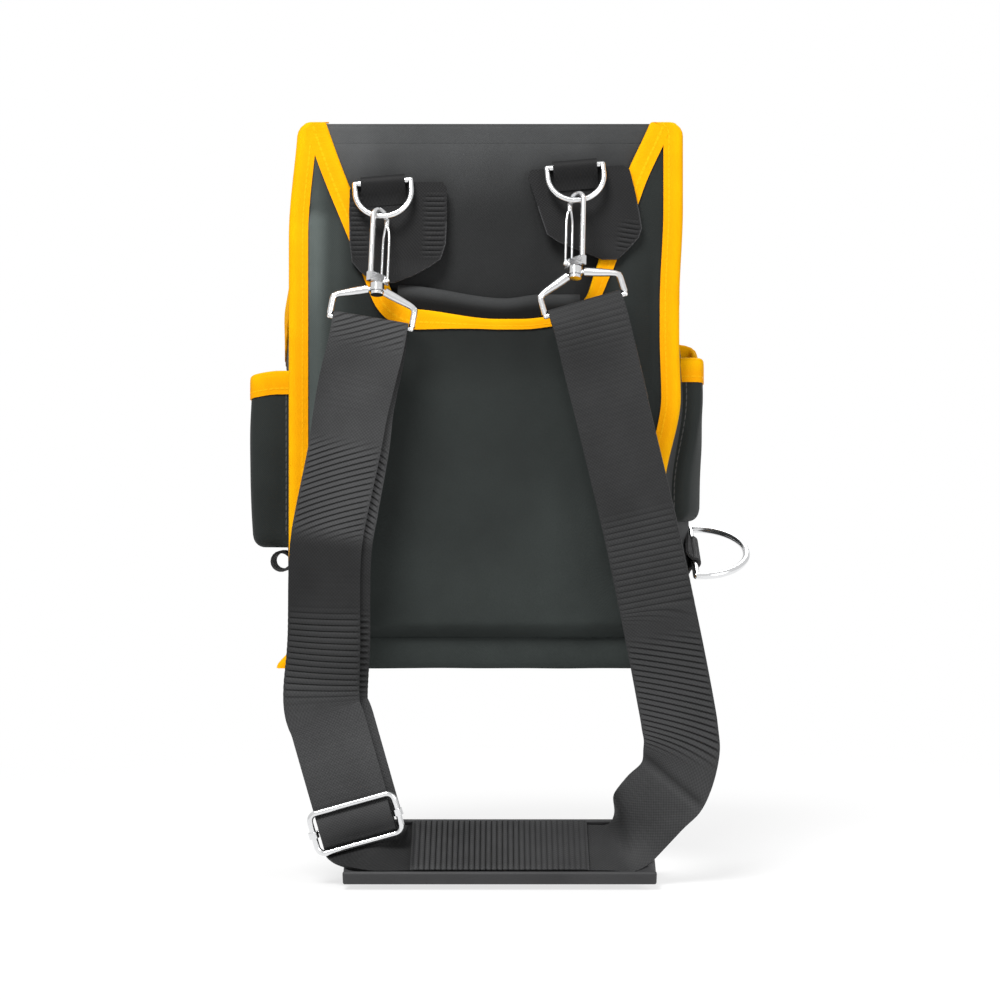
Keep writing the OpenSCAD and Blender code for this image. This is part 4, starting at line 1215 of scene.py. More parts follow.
def pouch(
    name, line, behind, foot, top, material, node,
    taper=0.03, belly=1.6, seed=1, lifts=(0, 0),
):
    """A pocket whose plan is the line. behind(point) is the wall point that its foot is sewn to."""
    low = foot + SEAM_TUCK

    def place(u, v):
        flat, out = line.at(u)
        wall = Vector(behind(flat))
        reach = FOOT_TURN * min(1, (flat - wall).length / FOOT_TURN)
        seams.append(min(u, 1 - u) * line.length * MM if v > TURN_END else NO_SEAM)
        if v < UNDER_END:
            return skewed(wall.lerp(flat - out * reach, v / UNDER_END), foot, low)
        if v < TURN_END:
            turn = (v - UNDER_END) / (TURN_END - UNDER_END) * pi / 2
            point = mix(flat - out * reach * (1 - sin(turn)), wall, taper)
            return skewed(point, foot, low + FOOT_TURN * (1 - cos(turn)))
        t = (v - TURN_END) / (1 - TURN_END)
        z = mix(low + FOOT_TURN, top + end_rise(u, lifts) - SEAM_TUCK, t)
        free = ease(0, 0.12, u) * ease(1, 0.88, u)
        point = mix(flat, wall, taper * (1 - t))
        point = point + out * free * (belly * sin(pi * t) + 0.6 * ripple(point.x, point.y, z, 30, seed))
        x, y, z = skewed(point, z)
        return x + sewn_end(flat, u, z), y, z

    seams = []
    piece = sheet(name, int(line.length / 2.4), 46, place, line.length, top - foot + 20)
    mark(piece, "from_edge", seams)
    thicken(piece, POCKET_THICK)
    finish_piece(piece, material, "bag", "cloth", node)


print("a pocket's foot turns under by", FOOT_TURN, "mm")

# %% [markdown]
# ## Tape of a pocket's mouth
# Every pocket's mouth is bound in yellow tape, as the rim is. The tape could be cut out of the cloth's top
# rows, but it lies on both faces of the cloth. So the same folded strip runs along the pocket's own line,
# raised at its two ends as the cloth is, and shorter inside than outside.

# %% Tape of a pocket's mouth
BACK_SHARE = 0.7


def pouch_tape(name, line, top, wide, lifts=(0, 0)):
    """The tape along a pocket's mouth, which rises with the cloth at its two ends."""
    def edge(u):
        flat, _ = line.at(u)
        z = top + end_rise(u, lifts)
        return flat.x + skew(flat.x, flat.y, top) + sewn_end(flat, u, z), flat.y, z

    return tape_along(
        name, edge, downward, lambda u: level_out(line, u), line.length, wide, wide * BACK_SHARE, 2.0,
        step=2.2, pucker=0.2,
    )


print("a 14 mm tape reaches", round(14 * BACK_SHARE, 1), "mm down inside the pocket")

# %% [markdown]
# ## Side pockets
# The left pocket stands well out from the side, and the right one is flatter and sits higher. Both mouths
# are sewn a little higher at their ends, and the right one far higher at its front end, which shows from
# behind as a step in its tape. The plan is a U with its two ends on the bowed wall, and the right one is
# mirrored, with a shorter reach.

# %% Side pockets
PLAN_STEPS = 12
SIDE_MIDDLE = 55.5
SIDE_CURVE = 315
POCKET_NEAR, POCKET_FAR = 19.5, 91.5
POCKET_ROOT = 127.8
LEFT_LIFTS = (3.5, 2.5)
RIGHT_LIFTS = (14, 0.5)


def side_drop(y):
    """How far the bowed side falls back from its middle."""
    return (y - SIDE_MIDDLE) ** 2 / SIDE_CURVE


def wall_x(y):
    return 131.6 - side_drop(y)


def side_line(sign, reach):
    face = POCKET_ROOT + reach
    near_root, far_root = wall_x(POCKET_NEAR), wall_x(POCKET_FAR)
    corners = [(near_root, POCKET_NEAR), (face, POCKET_NEAR), (face, POCKET_FAR), (far_root, POCKET_FAR)]
    points = [Vector((sign * x, y)) for x, y in corners]
    return Path(rounded(points if sign < 0 else points[::-1], PLAN_STEPS, 10))


def side_wall_point(sign):
    return lambda flat: (sign * (wall_x(flat.y) + 0.2), flat.y)


left_line = side_line(-1, 27.5)
pouch(
    "left_side_pocket_cloth", left_line, side_wall_point(-1), -277, -166.5, pocket_cloth, "left_side_pocket",
    seed=2, lifts=LEFT_LIFTS,
)
left_tape = pouch_tape("left_pocket_tape", left_line, -166, 13.5, LEFT_LIFTS)
finish_piece(left_tape, tape, "bag", "binding", "left_pocket_binding")
right_line = side_line(1, 13)
pouch(
    "right_side_pocket_cloth", right_line, side_wall_point(1), -260, -155, pocket_cloth, "right_side_pocket",
    taper=0.1, belly=1.0, seed=4, lifts=RIGHT_LIFTS,
)
right_tape = pouch_tape("right_pocket_tape", right_line, -154.4, 14, RIGHT_LIFTS)
finish_piece(right_tape, tape, "bag", "binding", "right_pocket_binding")

# %% [markdown]
# ## Front pockets
# The front has a tall pocket over most of its width, with two short ones sewn side by side on that. They
# don't show in the photograph, so they are plain and usual for a bag of this kind. The two short mouths are
# bound alike, and their tapes are one piece, so they are joined before they are finished.

# %% Front pockets
TALL_TOP = -202.4
TALL_HALF = 91
TALL_FACE = 134.4
SHORT_TOP = -256.4
SHORT_BACK = TALL_FACE + 1.2
SHORT_FACE = 145.7
FRONT_FOOT = -352.4
FRONT_TAPE = 12.5
TAPE_LIFT = 0.4


def front_face(flat):
    return flat.x, 120.9 - 10.0 * (flat.x / WALL_HALF) ** 2


def front_line(low, high, back_y, face_y):
    """From the wall out to the pocket's face, along it, and back to the wall."""
    corners = [(low, back_y), (low, face_y - 1), (high, face_y - 1), (high, back_y)]
    return Path(rounded([Vector(corner) for corner in corners], PLAN_STEPS, 6))


tall_line = front_line(-TALL_HALF, TALL_HALF, front_face(Vector((TALL_HALF, 0)))[1], TALL_FACE)
pouch(
    "tall_front_pocket_cloth", tall_line, front_face, FRONT_FOOT, TALL_TOP, pocket_cloth, "tall_front_pocket",
    seed=6,
)
tall_tape = pouch_tape("tall_pocket_tape", tall_line, TALL_TOP + TAPE_LIFT, FRONT_TAPE)
finish_piece(tall_tape, tape, "bag", "binding", "tall_pocket_binding")
short_tapes = []
for side, name in ((-1, "left"), (1, "right")):
    low, high = sorted((side * 6.8, side * 87.2))
    short_line = front_line(low, high, SHORT_BACK, SHORT_FACE)
    pouch(
        name + "_short_pocket_cloth", short_line, lambda flat: (flat.x, SHORT_BACK), FRONT_FOOT, SHORT_TOP,
        cloth, name + "_short_pocket", belly=1.2, seed=8 + side,
    )
    short_tapes.append(pouch_tape(name + "_short_tape", short_line, SHORT_TOP + TAPE_LIFT, FRONT_TAPE))
join(*short_tapes)
short_tapes[0].name = "short_pocket_tapes"
finish_piece(short_tapes[0], tape, "bag", "binding", "short_pocket_bindings")

# %% [markdown]
# ## Where the webbing is held
# The strap hangs from a wire bail on each hook, passes a slider on its left and lies in the shoulder pad. A
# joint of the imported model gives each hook's place, and the bail hangs below it, rolled and leaning as the
# photograph shows. From these come the directions across, down and out of the webbing at every hold.

# %% Holds of the webbing
BAIL_DROP = 24
BAIL_LEAN = 15


def point_of(joint):
    return Vector(JOINTS[joint]["pos_m"]) / MM


def rolled(angle):
    angle, lean = radians(angle), radians(BAIL_LEAN)
    across = Vector((cos(angle), 0, sin(angle)))
    down = cos(lean) * Vector((sin(angle), 0, -cos(angle))) + sin(lean) * Vector((0, -1, 0))
    return across, down, down.cross(across)


left_across, left_down, left_out = rolled(-9.7)
right_across, right_down, right_out = rolled(16)
left_hold = point_of("left_hook_swivel") + BAIL_DROP * left_down
right_hold = point_of("right_hook_swivel") + BAIL_DROP * right_down
slide_dir = Vector((0.269, 0.0535, -0.961)).normalized()
slide_in = Vector((0.961, 0, 0.269)).normalized()
slide_top = Vector((-102, -48, -388))
pad_in = Vector((0, 0.883, 0.469))
pad_up = Vector((0, -0.469, 0.883))
pad_mid = Vector((6, -40, -466.5))
print("webbing is held at", left_hold, "and", right_hold)

# %% [markdown]
# ## Route of the left strap
# The strap is flat webbing, so it is made directly: a line of stations, each with a place and the direction
# of one edge. A simulated strap would settle somewhere else, so the stations were chosen along the strap in
# the photograph, and they repeat the imported model's route. Below the slider the left strap fans round to
# lie in the pad.

# %% Left strap route
WRAP = 2.8


def station(place, edge):
    return [*place, *edge]


LEFT_ROUTE = [
    station(left_hold + WRAP * left_out, left_across),
    station(left_hold + WRAP * left_out + 18 * left_down, left_across),
    station((-87.4, -49.5, -185), (1, -0.12, -0.2)),
    station((-92.2, -51.5, -213), (1, -0.22, -0.15)),
    station((-100, -54.5, -251), (1, -0.25, -0.12)),
    station((-103.4, -56, -271), (1, -0.25, -0.05)),
    station((-104.8, -55.5, -293), (1, -0.25, 0)),
    station((-105.2, -52.5, -334), (1, -0.2, 0.06)),
    station(slide_top - 16 * slide_dir, slide_in),
    station(slide_top, slide_in),
    station(slide_top + 20 * slide_dir, slide_in),
    station(slide_top + 40 * slide_dir, slide_in),
    station(slide_top + 60 * slide_dir, slide_in),
    station(slide_top + 80 * slide_dir, slide_in),
]
FAN_ROUTE = [
    station(slide_top + 80 * slide_dir, slide_in),
    station((-76.5, -45, -465), (0.85, 0.21, 0.36)),
    station((-70.5, -45, -465.3), (0.64, 0.5, 0.41)),
    station((-63, -43.2, -466), (0.375, 0.72, 0.46)),
    station((-51.5, -40.4, -466.5), (0.14, 0.87, 0.47)),
    station((-38, -40, -466.5), pad_in),
    station((-16, -40, -466.5), pad_in),
    station(pad_mid, pad_in),
]
print("stations on the left", len(LEFT_ROUTE), "and in the fan", len(FAN_ROUTE))

# %% [markdown]
# ## Route of the right strap
# The right strap starts in the middle of the pad and turns over where it leaves it. Its stations lie
# closest there, and their edges turn a little from each to the next. Above the turn it hangs freely up to
# its bail, and a few stations are enough.

# %% Right strap route
RIGHT_ROUTE = [
    station(pad_mid, pad_in),
    station((26, -40, -466.5), pad_in),
    station((46, -40, -466.5), pad_in),
    station((64, -40, -466.5), pad_in),
    station((77, -40, -466.3), (-0.04, 0.87, 0.49)),
    station((85, -41, -462.5), (-0.2, 0.7, 0.69)),
    station((92.5, -44, -450.5), (-0.546, 0.25, 0.8)),
    station((104, -48, -436.5), (-0.7, 0.12, 0.7)),
    station((115, -50, -424.5), (-0.8, 0.06, 0.6)),
    station((120.3, -51.5, -403.5), (-0.98, 0.05, 0.16)),
    station((119.3, -51.8, -389), (-1, 0.1, -0.02)),
    station((116.4, -52, -371.5), (-1, 0.16, -0.1)),
    station((108.6, -52, -331), (-1, 0.24, -0.2)),
    station((95.3, -50.5, -267), (-1, 0.3, -0.2)),
    station((78.9, -48.5, -198), (-1, 0.28, -0.22)),
    station((70.6, -47.2, -163), (-1, 0.16, -0.26)),
    station(right_hold + WRAP * right_out + 14 * right_down, -right_across),
    station(right_hold + WRAP * right_out, -right_across),
]
print("stations on the right", len(RIGHT_ROUTE))

# %% [markdown]
# ## A smooth line through the stations
# Between two stations the webbing bends evenly. A cubic curve that leans on its neighbours passes through
# every station, and the edge's direction is blended in the same way as the place. Where the webbing hangs
# freely its width is then squared to its length.


# %% Lines through stations
def cubic(p, q, r, s, t):
    """A number on the way from q to r, when p comes before them and s after."""
    bend = (2 * p - 5 * q + 4 * r - s) * t * t + (3 * q - p - 3 * r + s) * t ** 3
    return 0.5 * (2 * q + (r - p) * t + bend)


def through(route, fine):
    """A smooth line through the stations, by the rule that each part leans on its two neighbours."""
    line = []
    for k in range(len(route) - 1):
        a, b, c, d = route[max(k - 1, 0)], route[k], route[k + 1], route[min(k + 2, len(route) - 1)]
        for step in range(fine):
            line.append([cubic(*four, step / fine) for four in zip(a, b, c, d)])
    line.append(list(route[-1]))
    return line


def axes_at(line, k):
    """Place, direction along, direction across and the way the webbing faces, at one station."""
    here = Vector(line[k][:3])
    along = (Vector(line[min(k + 1, len(line) - 1)][:3]) - Vector(line[max(k - 1, 0)][:3])).normalized()
    edge = Vector(line[k][3:])
    across = (edge - edge.dot(along) * along).normalized()
    return here, along, across, along.cross(across)


def raw_axes(line, k):
    """Place, width and face, with the width exactly as its station gives it, even where that is askew."""
    here, along, _, _ = axes_at(line, k)
    across = Vector(line[k][3:]).normalized()
    return here, across, along.cross(across).normalized()


def squared(line):
    return [station(axes_at(line, k)[0], axes_at(line, k)[2]) for k in range(len(line))]


FINE = 4
LOWER_TURN = 48
left_run = squared(through(LEFT_ROUTE, FINE))
fan_run = through(FAN_ROUTE, FINE)
turning_run = through(RIGHT_ROUTE, FINE)
right_run = turning_run[:LOWER_TURN] + squared(turning_run)[LOWER_TURN:]
print("fine stations", len(left_run), len(fan_run), len(right_run))

# %% [markdown]
# ## Round the bails and back
# At each bail the webbing goes over the wire and comes back behind itself. On the left it runs behind all
# the way to the slider, a little to one side, and on the right it ends after a short tail that closes up to
# the front layer. Both are the same stations again, moved behind the face.

# %% Doubled webbing
LEFT_ASIDE = 5
TAIL_GAP = 2.5


def behind_run(line, k, aside, behind=2 * WRAP):
    here, _, across, face = axes_at(line, k)
    return station(here - behind * face + aside * across, across)


def over_wire(hold, out, up, edge):
    turns = [pi * k / 8 for k in range(1, 8)]
    return [station(hold + WRAP * (-cos(turn) * out + sin(turn) * up), edge) for turn in turns]


left_tail = [behind_run(left_run, k, LEFT_ASIDE * min(1, k / 16)) for k in range(49, 0, -1)]
left_wrap = over_wire(left_hold, left_out, -left_down, left_across)
left_stations = left_tail + left_wrap + left_run + fan_run[1:]
right_wrap = over_wire(right_hold, right_out, -right_down, -right_across)[::-1]
right_tail = [
    behind_run(right_run, len(right_run) - k, 0, mix(2 * WRAP, TAIL_GAP, ease(2, 9, k))) for k in range(2, 13)
]
right_stations = right_run + right_wrap + right_tail
print("strap stations", len(left_stations), len(right_stations))

# %% [markdown]
# ## Ribs of the webbing
# Ribs run across the webbing. They are real ridges, stronger where the strap has been worn in, and slanted
# where it was pulled askew, and the same strength sets the painted shade in their grooves. Each worn band is
# given as its lowest and highest point, the slant in ribs from edge to edge, and the depth of the wear. For
# even ribs the line is first taken at even steps.

# %% Ribs
RIB_PITCH = 3.8
RIB_STEPS = 5


def even_stations(line, step):
    """The same line, finely smoothed and then taken at even steps."""
    fine = through(line, 6)
    run = run_of([Vector(point[:3]) for point in fine])
    count = int(run[-1] / step)
    result, k = [], 0
    for n in range(count + 1):
        far = run[-1] * n / count
        while k < len(run) - 2 and run[k + 1] < far:
            k += 1
        t = (far - run[k]) / max(1e-6, run[k + 1] - run[k])
        result.append([mix(p, q, t) for p, q in zip(fine[k], fine[k + 1])])
    return result, run[-1]


def worn_and_shaded(z, bands):
    return sum(deep * ease(low - 8, low + 6, z) * ease(high + 8, high - 6, z) for low, high, _, deep in bands)


def slant(z, bands):
    """How many ribs the pattern shifts by from one edge to the other."""
    return sum(
        lean * ease(low - 24, low - 12, z) * ease(high + 24, high + 12, z) for low, high, lean, _ in bands
    )


print("a rib every", RIB_PITCH, "mm, in", RIB_STEPS, "steps")

# %% [markdown]
# ## Fold of the right strap
# Where the right strap turns in to the pad it is folded over a slanting line, with a light and a dark side
# to it. The fold itself is in the route. Its sharp shading is a number stored on the points, found from the
# distance to that line.

# %% Fold of the right strap
TURN_TOP = Vector((96.5, -407))
TURN_FOOT = Vector((131.7, -437.3))


def turn_fold_shading(point):
    """Painted shade and a painted highlight on the two sides of the fold where the right strap turns in to
    the pad.
    """
    along = TURN_FOOT - TURN_TOP
    here = Vector((point.x, point.z)) - TURN_TOP
    share = here.dot(along) / along.length_squared
    off = (here.x * along.y - here.y * along.x) / along.length
    held = ease(-0.15, 0.1, share) * ease(1.15, 0.9, share)
    return held * (crease(off, -1.5, 6, -0.5) + crease(off, 3, 6, 0.35))


print("the fold is", round((TURN_FOOT - TURN_TOP).length), "mm long")

# %% [markdown]
# ## Strap ribbons
# With the line and the ribs known, each strap is one long sheet. The left strap is cupped between the bail
# and the slider, which narrows what shows of it. The ribs' phase, the wear and the painted light and shade
# are stored on the points for the webbing's material. The bands and the painted light and shade are lists of
# heights, read off the photograph.

# %% Strap ribbons
STRAP_WIDE = 48
STRAP_THICK = 1.7
CUP_MEAN = 0.33
LEFT_BANDS = ((-146, -128, 6, 0.8), (-266, -212, 6, 1), (-368, -318, 0, 1))
LEFT_LIGHT_AND_SHADE = ((-150, 0), (-262, 0.05), (-276, -0.5), (-350, -0.4), (-392, 0.3), (-440, 0.25), (-462, -0.5))
RIGHT_BANDS = ((-146, -128, 0, 0.25), (-318, -256, 0, 0.5), (-404, -334, -4, 1))
RIGHT_LIGHT_AND_SHADE = ((-120, -0.38), (-190, -0.34), (-320, -0.34), (-390, -0.12), (-440, 0.1), (-466, -0.1))


def ribbon(name, line, bands, light_and_shade_levels, node, cup=0.0, spot=None):
    stations, length = even_stations(line, RIB_PITCH / RIB_STEPS)
    rows = len(stations) - 1
    placed = [raw_axes(stations, k) for k in range(rows + 1)]

    def place(u, v):
        k = round(v * rows)
        here, across, face = placed[k]
        lean, wear_and_shade = slant(here.z, bands), worn_and_shaded(here.z, bands)
        phase = k / RIB_STEPS + lean * (u - 0.5)
        flat = ease(0, 0.04, u) * ease(1, 0.96, u) * ease(3, 1, abs(lean))
        rib = (0.05 + 0.3 * wear_and_shade) * cos(2 * pi * phase) * flat
        slack = 0.35 * ripple(here.x, here.y, here.z + 30 * u, 28, 9) * ease(0, 0.2, v) * ease(1, 0.8, v)
        bow = cup * ease(-158, -190, here.z) * ease(-385, -345, here.z)
        chord = STRAP_WIDE * (1 - 8 / 3 * (bow / STRAP_WIDE) ** 2)
        rear = face if face.y < 0 else -face
        point = here + (u - 0.5) * chord * across + (rib + slack) * face
        point = point - bow * ((2 * u - 1) ** 2 - CUP_MEAN) * rear
        phases.append(phase)
        wear_and_shade_values.append(wear_and_shade * ease(0, 0.06, u) * ease(1, 0.94, u))
        # Painted light and shade along the strap's height, and on the right strap the painted shading of its
        # fold.
        shades.append(level_at(light_and_shade_levels, here.z) + (spot(point) if spot else 0))
        return point

    phases, wear_and_shade_values, shades = [], [], []
    piece = sheet(name, 22, rows, place, STRAP_WIDE, length)
    for label, values in (("phase", phases), ("worn_and_shaded", wear_and_shade_values), ("light_and_shade", shades)):
        mark(piece, label, values)
    thicken(piece, STRAP_THICK)
    finish_piece(piece, webbing, "strap", "webbing", node)


ribbon("left_strap_webbing", left_stations, LEFT_BANDS, LEFT_LIGHT_AND_SHADE, "left_strap", cup=4.5)
ribbon("right_strap_webbing", right_stations, RIGHT_BANDS, RIGHT_LIGHT_AND_SHADE, "right_strap", spot=turn_fold_shading)

# %% [markdown]
# ## Shoulder pad
# The strap lies in a soft foam tray with a lip along each long side. A tray could be drawn as a profile and
# extruded, but here it is shaped as by hand: a block is cut lengthways twice, its two outer strips are
# drawn up, and all its edges are rounded. It is made square to the axes, and then moved into its place in
# the bag's frame.

# %% Pad tray
PAD_LONG = 196
BED_HALF = 26
LIP_WIDE = 3
LIP_RISE = 4.3
TRAY_THICK = 4.8
TRAY_DROP = 4.5


def pick(piece, kind, test):
    """Edit mode, with only the vertices or faces selected that the test wants."""
    take(piece)
    bpy.ops.object.mode_set(mode="EDIT")
    bpy.ops.mesh.select_mode(type=kind)
    bpy.ops.mesh.select_all(action="DESELECT")
    bpy.ops.object.mode_set(mode="OBJECT")
    for part in piece.data.vertices if kind == "VERT" else piece.data.polygons:
        part.select = bool(test(part))
    bpy.ops.object.mode_set(mode="EDIT")


def into_place(piece, origin, x, y, z):
    """Moves a mesh from its own axes into the bag's frame."""
    frame_matrix = Matrix((x, y, z)).transposed().to_4x4()
    frame_matrix.translation = Vector(origin) * MM
    piece.data.transform(frame_matrix)
    piece.data.update()


let_go()
bpy.ops.mesh.primitive_cube_add(size=1)
tray = bpy.context.object
tray.name = "shoulder_pad_foam"
tray.scale = (PAD_LONG * MM, 2 * (BED_HALF + LIP_WIDE) * MM, TRAY_THICK * MM)
bpy.ops.object.transform_apply(location=False, rotation=False, scale=True)
for cut in (-BED_HALF, BED_HALF):
    pick(tray, "VERT", lambda part: True)
    bpy.ops.mesh.bisect(plane_co=(0, cut * MM, 0), plane_no=(0, 1, 0))
pick(tray, "FACE", lambda face: face.normal.z > 0.9 and abs(face.center.y) > BED_HALF * MM)
bpy.ops.mesh.extrude_region_move(TRANSFORM_OT_translate={"value": (0, 0, LIP_RISE * MM)})
bpy.ops.object.mode_set(mode="OBJECT")
modify(tray, "BEVEL", width=1.3 * MM, segments=3, limit_method="ANGLE", angle_limit=radians(40))
outward(tray)
into_place(tray, pad_mid - TRAY_DROP * pad_up, Vector((1, 0, 0)), pad_in, pad_up)
finish_piece(tray, foam, "strap", "pad", "shoulder_pad", smooth=40)

# %% [markdown]
# ## Ribbed cover of the pad
# A cover of close ribs lies on the strap in the tray and holds it there. Its ribs are worn down towards the
# right, and the painted shade in their grooves and the painted highlight on their crests grow weaker with
# them. It is a sheet like the webbing, with the ribs in its own relief, and it uses the webbing's material
# and stored numbers.

# %% Ribbed cover
COVER_HALF = 56
COVER_PITCH = 3.5
COVER_RISE = 2.4
COVER_INSET = 0.4


def cover_place(u, v):
    side = BED_HALF - COVER_INSET
    x, across = mix(-COVER_HALF, COVER_HALF, u), mix(-side, side, v)
    rib = mix(0.75, 0.35, ease(-20, 56, x)) * cos(2 * pi * x / COVER_PITCH)
    held = ease(BED_HALF, BED_HALF - 4, abs(across))
    rise = COVER_RISE + held * (0.6 + rib) - 0.4 * ease(COVER_HALF - 3, COVER_HALF, abs(x))
    return pad_mid + Vector((x, 0, 0)) + across * pad_in + rise * pad_up


def cover_wear_and_shade(place):
    uneven = 0.8 + 0.4 * ripple(*(place / MM), 6, 2)
    return 0.9 * mix(1, 0.3, ease(-0.01, 0.062, place.x)) * ease(-0.05, -0.04, place.x) * uneven


cover = sheet("pad_cover_ribs", 256, 26, cover_place, 2 * COVER_HALF, 2 * BED_HALF)
mark(cover, "phase", [(point.co.x / MM - pad_mid.x) / COVER_PITCH for point in cover.data.vertices])
mark(cover, "worn_and_shaded", [cover_wear_and_shade(point.co) for point in cover.data.vertices])
thicken(cover, 1.1)
finish_piece(cover, webbing, "strap", "webbing", "pad_ribbed_cover")

# %% [markdown]
# ## Fold of webbing on the slider
# The webbing's end comes up through the slider and over its bar, so a short round fold shows between the
# frame's two ends. It travels with the slider and so is its own piece: a sheet bent to a shallow arc.

# %% Fold over the slider's bar
HUMP_SPAN = 10.2
HUMP_RISE = 5.4
HUMP_HALF = 23.4
SLIDER_DOWN = 64
hump_round = (HUMP_SPAN ** 2 + HUMP_RISE ** 2) / 2 / HUMP_RISE
slider_at = slide_top + SLIDER_DOWN * slide_dir
slider_out = slide_dir.cross(slide_in)


def hump_place(u, v):
    across, along = mix(-HUMP_HALF, HUMP_HALF, u), mix(-HUMP_SPAN, HUMP_SPAN, v)
    arc_rise = sqrt(hump_round ** 2 - along ** 2) - hump_round + HUMP_RISE
    rise = arc_rise + 0.5 + 0.3 * ripple(across, along, 0, 12, 3)
    return slider_at + across * slide_in - along * slide_dir + rise * slider_out


hump = sheet("slider_webbing_fold", 40, 22, hump_place, 47, 26)
thicken(hump, 1.6)
finish_piece(hump, webbing, "slider", "webbing", "slider_webbing_hump")

# %% [markdown]
# ## Outlines of the ring patches
# A wide patch of webbing on each side is sewn to the back over the pocket's tape and carries a ring.
# Neither is quite even, so their two sides are lists of heights and places across, read off the photograph.
# Tight ribs show down both sides of the left patch, and only in the lower corner of the right one.

# %% Patch outlines
LEFT_PATCH = (
    (
        (-40, -86), (-45, -91), (-60, -91.4), (-80, -91),
        (-92, -89.5), (-98, -84.5), (-103, -78), (-105.6, -71),
    ),
    (
        (-40, -31), (-44, -28.2), (-60, -28), (-80, -28.8),
        (-90, -32), (-95, -39), (-101, -50), (-105.6, -62),
    ),
)
RIGHT_PATCH = (
    (
        (-32, 26), (-37, 24.4), (-48, 28), (-62, 32.5),
        (-74, 36.5), (-79, 44), (-84, 56), (-90.4, 72),
    ),
    (
        (-29, 86), (-32, 90.2), (-45, 93.4), (-60, 96.4),
        (-70, 98), (-76, 96), (-84, 89), (-90.4, 82),
    ),
)


def chain_x(chain, z):
    """Place across at one height. Outside the list it stays at the nearest end."""
    for (z0, x0), (z1, x1) in zip(chain, chain[1:]):
        if z1 <= z <= z0:
            return mix(x0, x1, (z - z0) / (z1 - z0))
    return chain[0][1] if z > chain[0][0] else chain[-1][1]


def sides_ribbed(u, v):
    """Ribs down both sides, stronger on the right."""
    both = ease(0.74, 0.84, u) * ease(0.99, 0.96, u) + 0.6 * ease(0.22, 0.14, u) * ease(0.01, 0.04, u)
    return both * ease(0.2, 0.35, v) * ease(0.92, 0.8, v)


def corner_ribbed(u, v):
    """Ribs only in the lower right corner."""
    return ease(0.72, 0.86, u) * ease(0.99, 0.96, u) * ease(0.06, 0.13, v) * ease(0.46, 0.3, v)


print("left patch is", round(chain_x(LEFT_PATCH[1], -60) - chain_x(LEFT_PATCH[0], -60)), "mm wide")

# %% [markdown]
# ## Patches and their sleeves
# Each patch is a sheet between its two sides, leaning with the back, with a painted highlight along its rim,
# and its ribs get the webbing's painted groove shade. A narrower strip on it is folded round the bar of the
# ring: a strip with a profile that goes straight, round the bar and back, as long as the bar's free part. The
# two are sewn together, so they are joined to one piece.

# %% Patches and sleeves
PATCH_AT = -6.6
PATCH_LEAN = 12.4 / 165
PATCH_RIB = 3.2
RIM_HIGHLIGHT = 3.0
SLEEVE_HALF = 14.2
SLEEVE_ROUND = 3.25
ring_axis = (point_of("right_ring_swing") - point_of("strap_swing")).normalized()
ring_up = Vector((-ring_axis.z, 0, ring_axis.x))


def arc(radius, start, end, step=20):
    """Points round a circle, with the angles in degrees."""
    return [(radius * cos(radians(a)), radius * sin(radians(a))) for a in range(start, end, step)]


SLEEVE = [(-1.4, -15), (-1.2, -11), (0.3, -7), (2.1, -3.9), *arc(SLEEVE_ROUND, -30, 211)]


def ring_sleeve(name, bar):
    rows = len(SLEEVE) - 1

    def place(u, v):
        out, rise = SLEEVE[round(v * rows)]
        return bar + mix(-SLEEVE_HALF, SLEEVE_HALF, u) * ring_axis + Vector((0, -out, 0)) + rise * ring_up

    piece = sheet(name, 24, rows, place, 29, 32)
    thicken(piece, 1.9)
    return piece


def patch(name, shape, bar, node, ribbed, slope):
    left, right = shape

    def place(u, v):
        z = mix(left[-1][0], mix(left[0][0], right[0][0], u), v)
        x = mix(chain_x(left, z), chain_x(right, z), u)
        ribs, phase = ribbed(u, v), (z + slope * x) / PATCH_RIB
        # Painted highlight along the lower part of the two sides and along the foot.
        at_rim = (u < 0.015 or u > 0.985 or v < 0.005) and v < 0.6
        phases.append(phase)
        wear_and_shade_values.append(ribs)
        rim_highlights.append(RIM_HIGHLIGHT if at_rim else 0.0)
        lean = (z + 14.8) * PATCH_LEAN
        return x, PATCH_AT + lean - 0.4 * cos(2 * pi * phase) * ribs - 0.9 * ease(0.25, 0, v), z

    phases, wear_and_shade_values, rim_highlights = [], [], []
    piece = sheet(name + "_patch", 60, 130, place, 64, 66)
    for label, values in (("light_and_shade", rim_highlights), ("phase", phases), ("worn_and_shaded", wear_and_shade_values)):
        mark(piece, label, values)
    thicken(piece, 2.1)
    join(piece, ring_sleeve(name + "_sleeve", bar))
    return finish_piece(piece, patch_webbing, "bag", "webbing", node)


patch("left_ring", LEFT_PATCH, point_of("strap_swing"), "left_ring_tab", sides_ribbed, 0)
patch("right_ring", RIGHT_PATCH, point_of("right_ring_swing"), "right_ring_tab", corner_ribbed, 0.16)

# %% [markdown]
# ## Tool loop
# A short loop of webbing under the left pocket takes a pencil or a small tool. It is a strip with its two
# ends sewn flat to the side and its middle bent round, so its profile is an arc between two straight ends,
# which follow the bowed wall.

# %% Tool loop
TOOL_AT = Vector((-139.1, 41.5, -286.4))
TOOL_HALF = 12.8
SEWN_FROM = 6.5
TOOL_PROFILE = [(7.0, 9), (7.0, 5.5), *arc(6.2, 40, 321), (7.0, -5.5), (7.0, -9)]
tool_rows = len(TOOL_PROFILE) - 1


def tool_place(u, v):
    out, rise = TOOL_PROFILE[round(v * tool_rows)]
    y = mix(-TOOL_HALF, TOOL_HALF, u)
    drop = side_drop(TOOL_AT.y + y) if out > SEWN_FROM else 0
    return TOOL_AT + Vector((out + drop, y, rise))


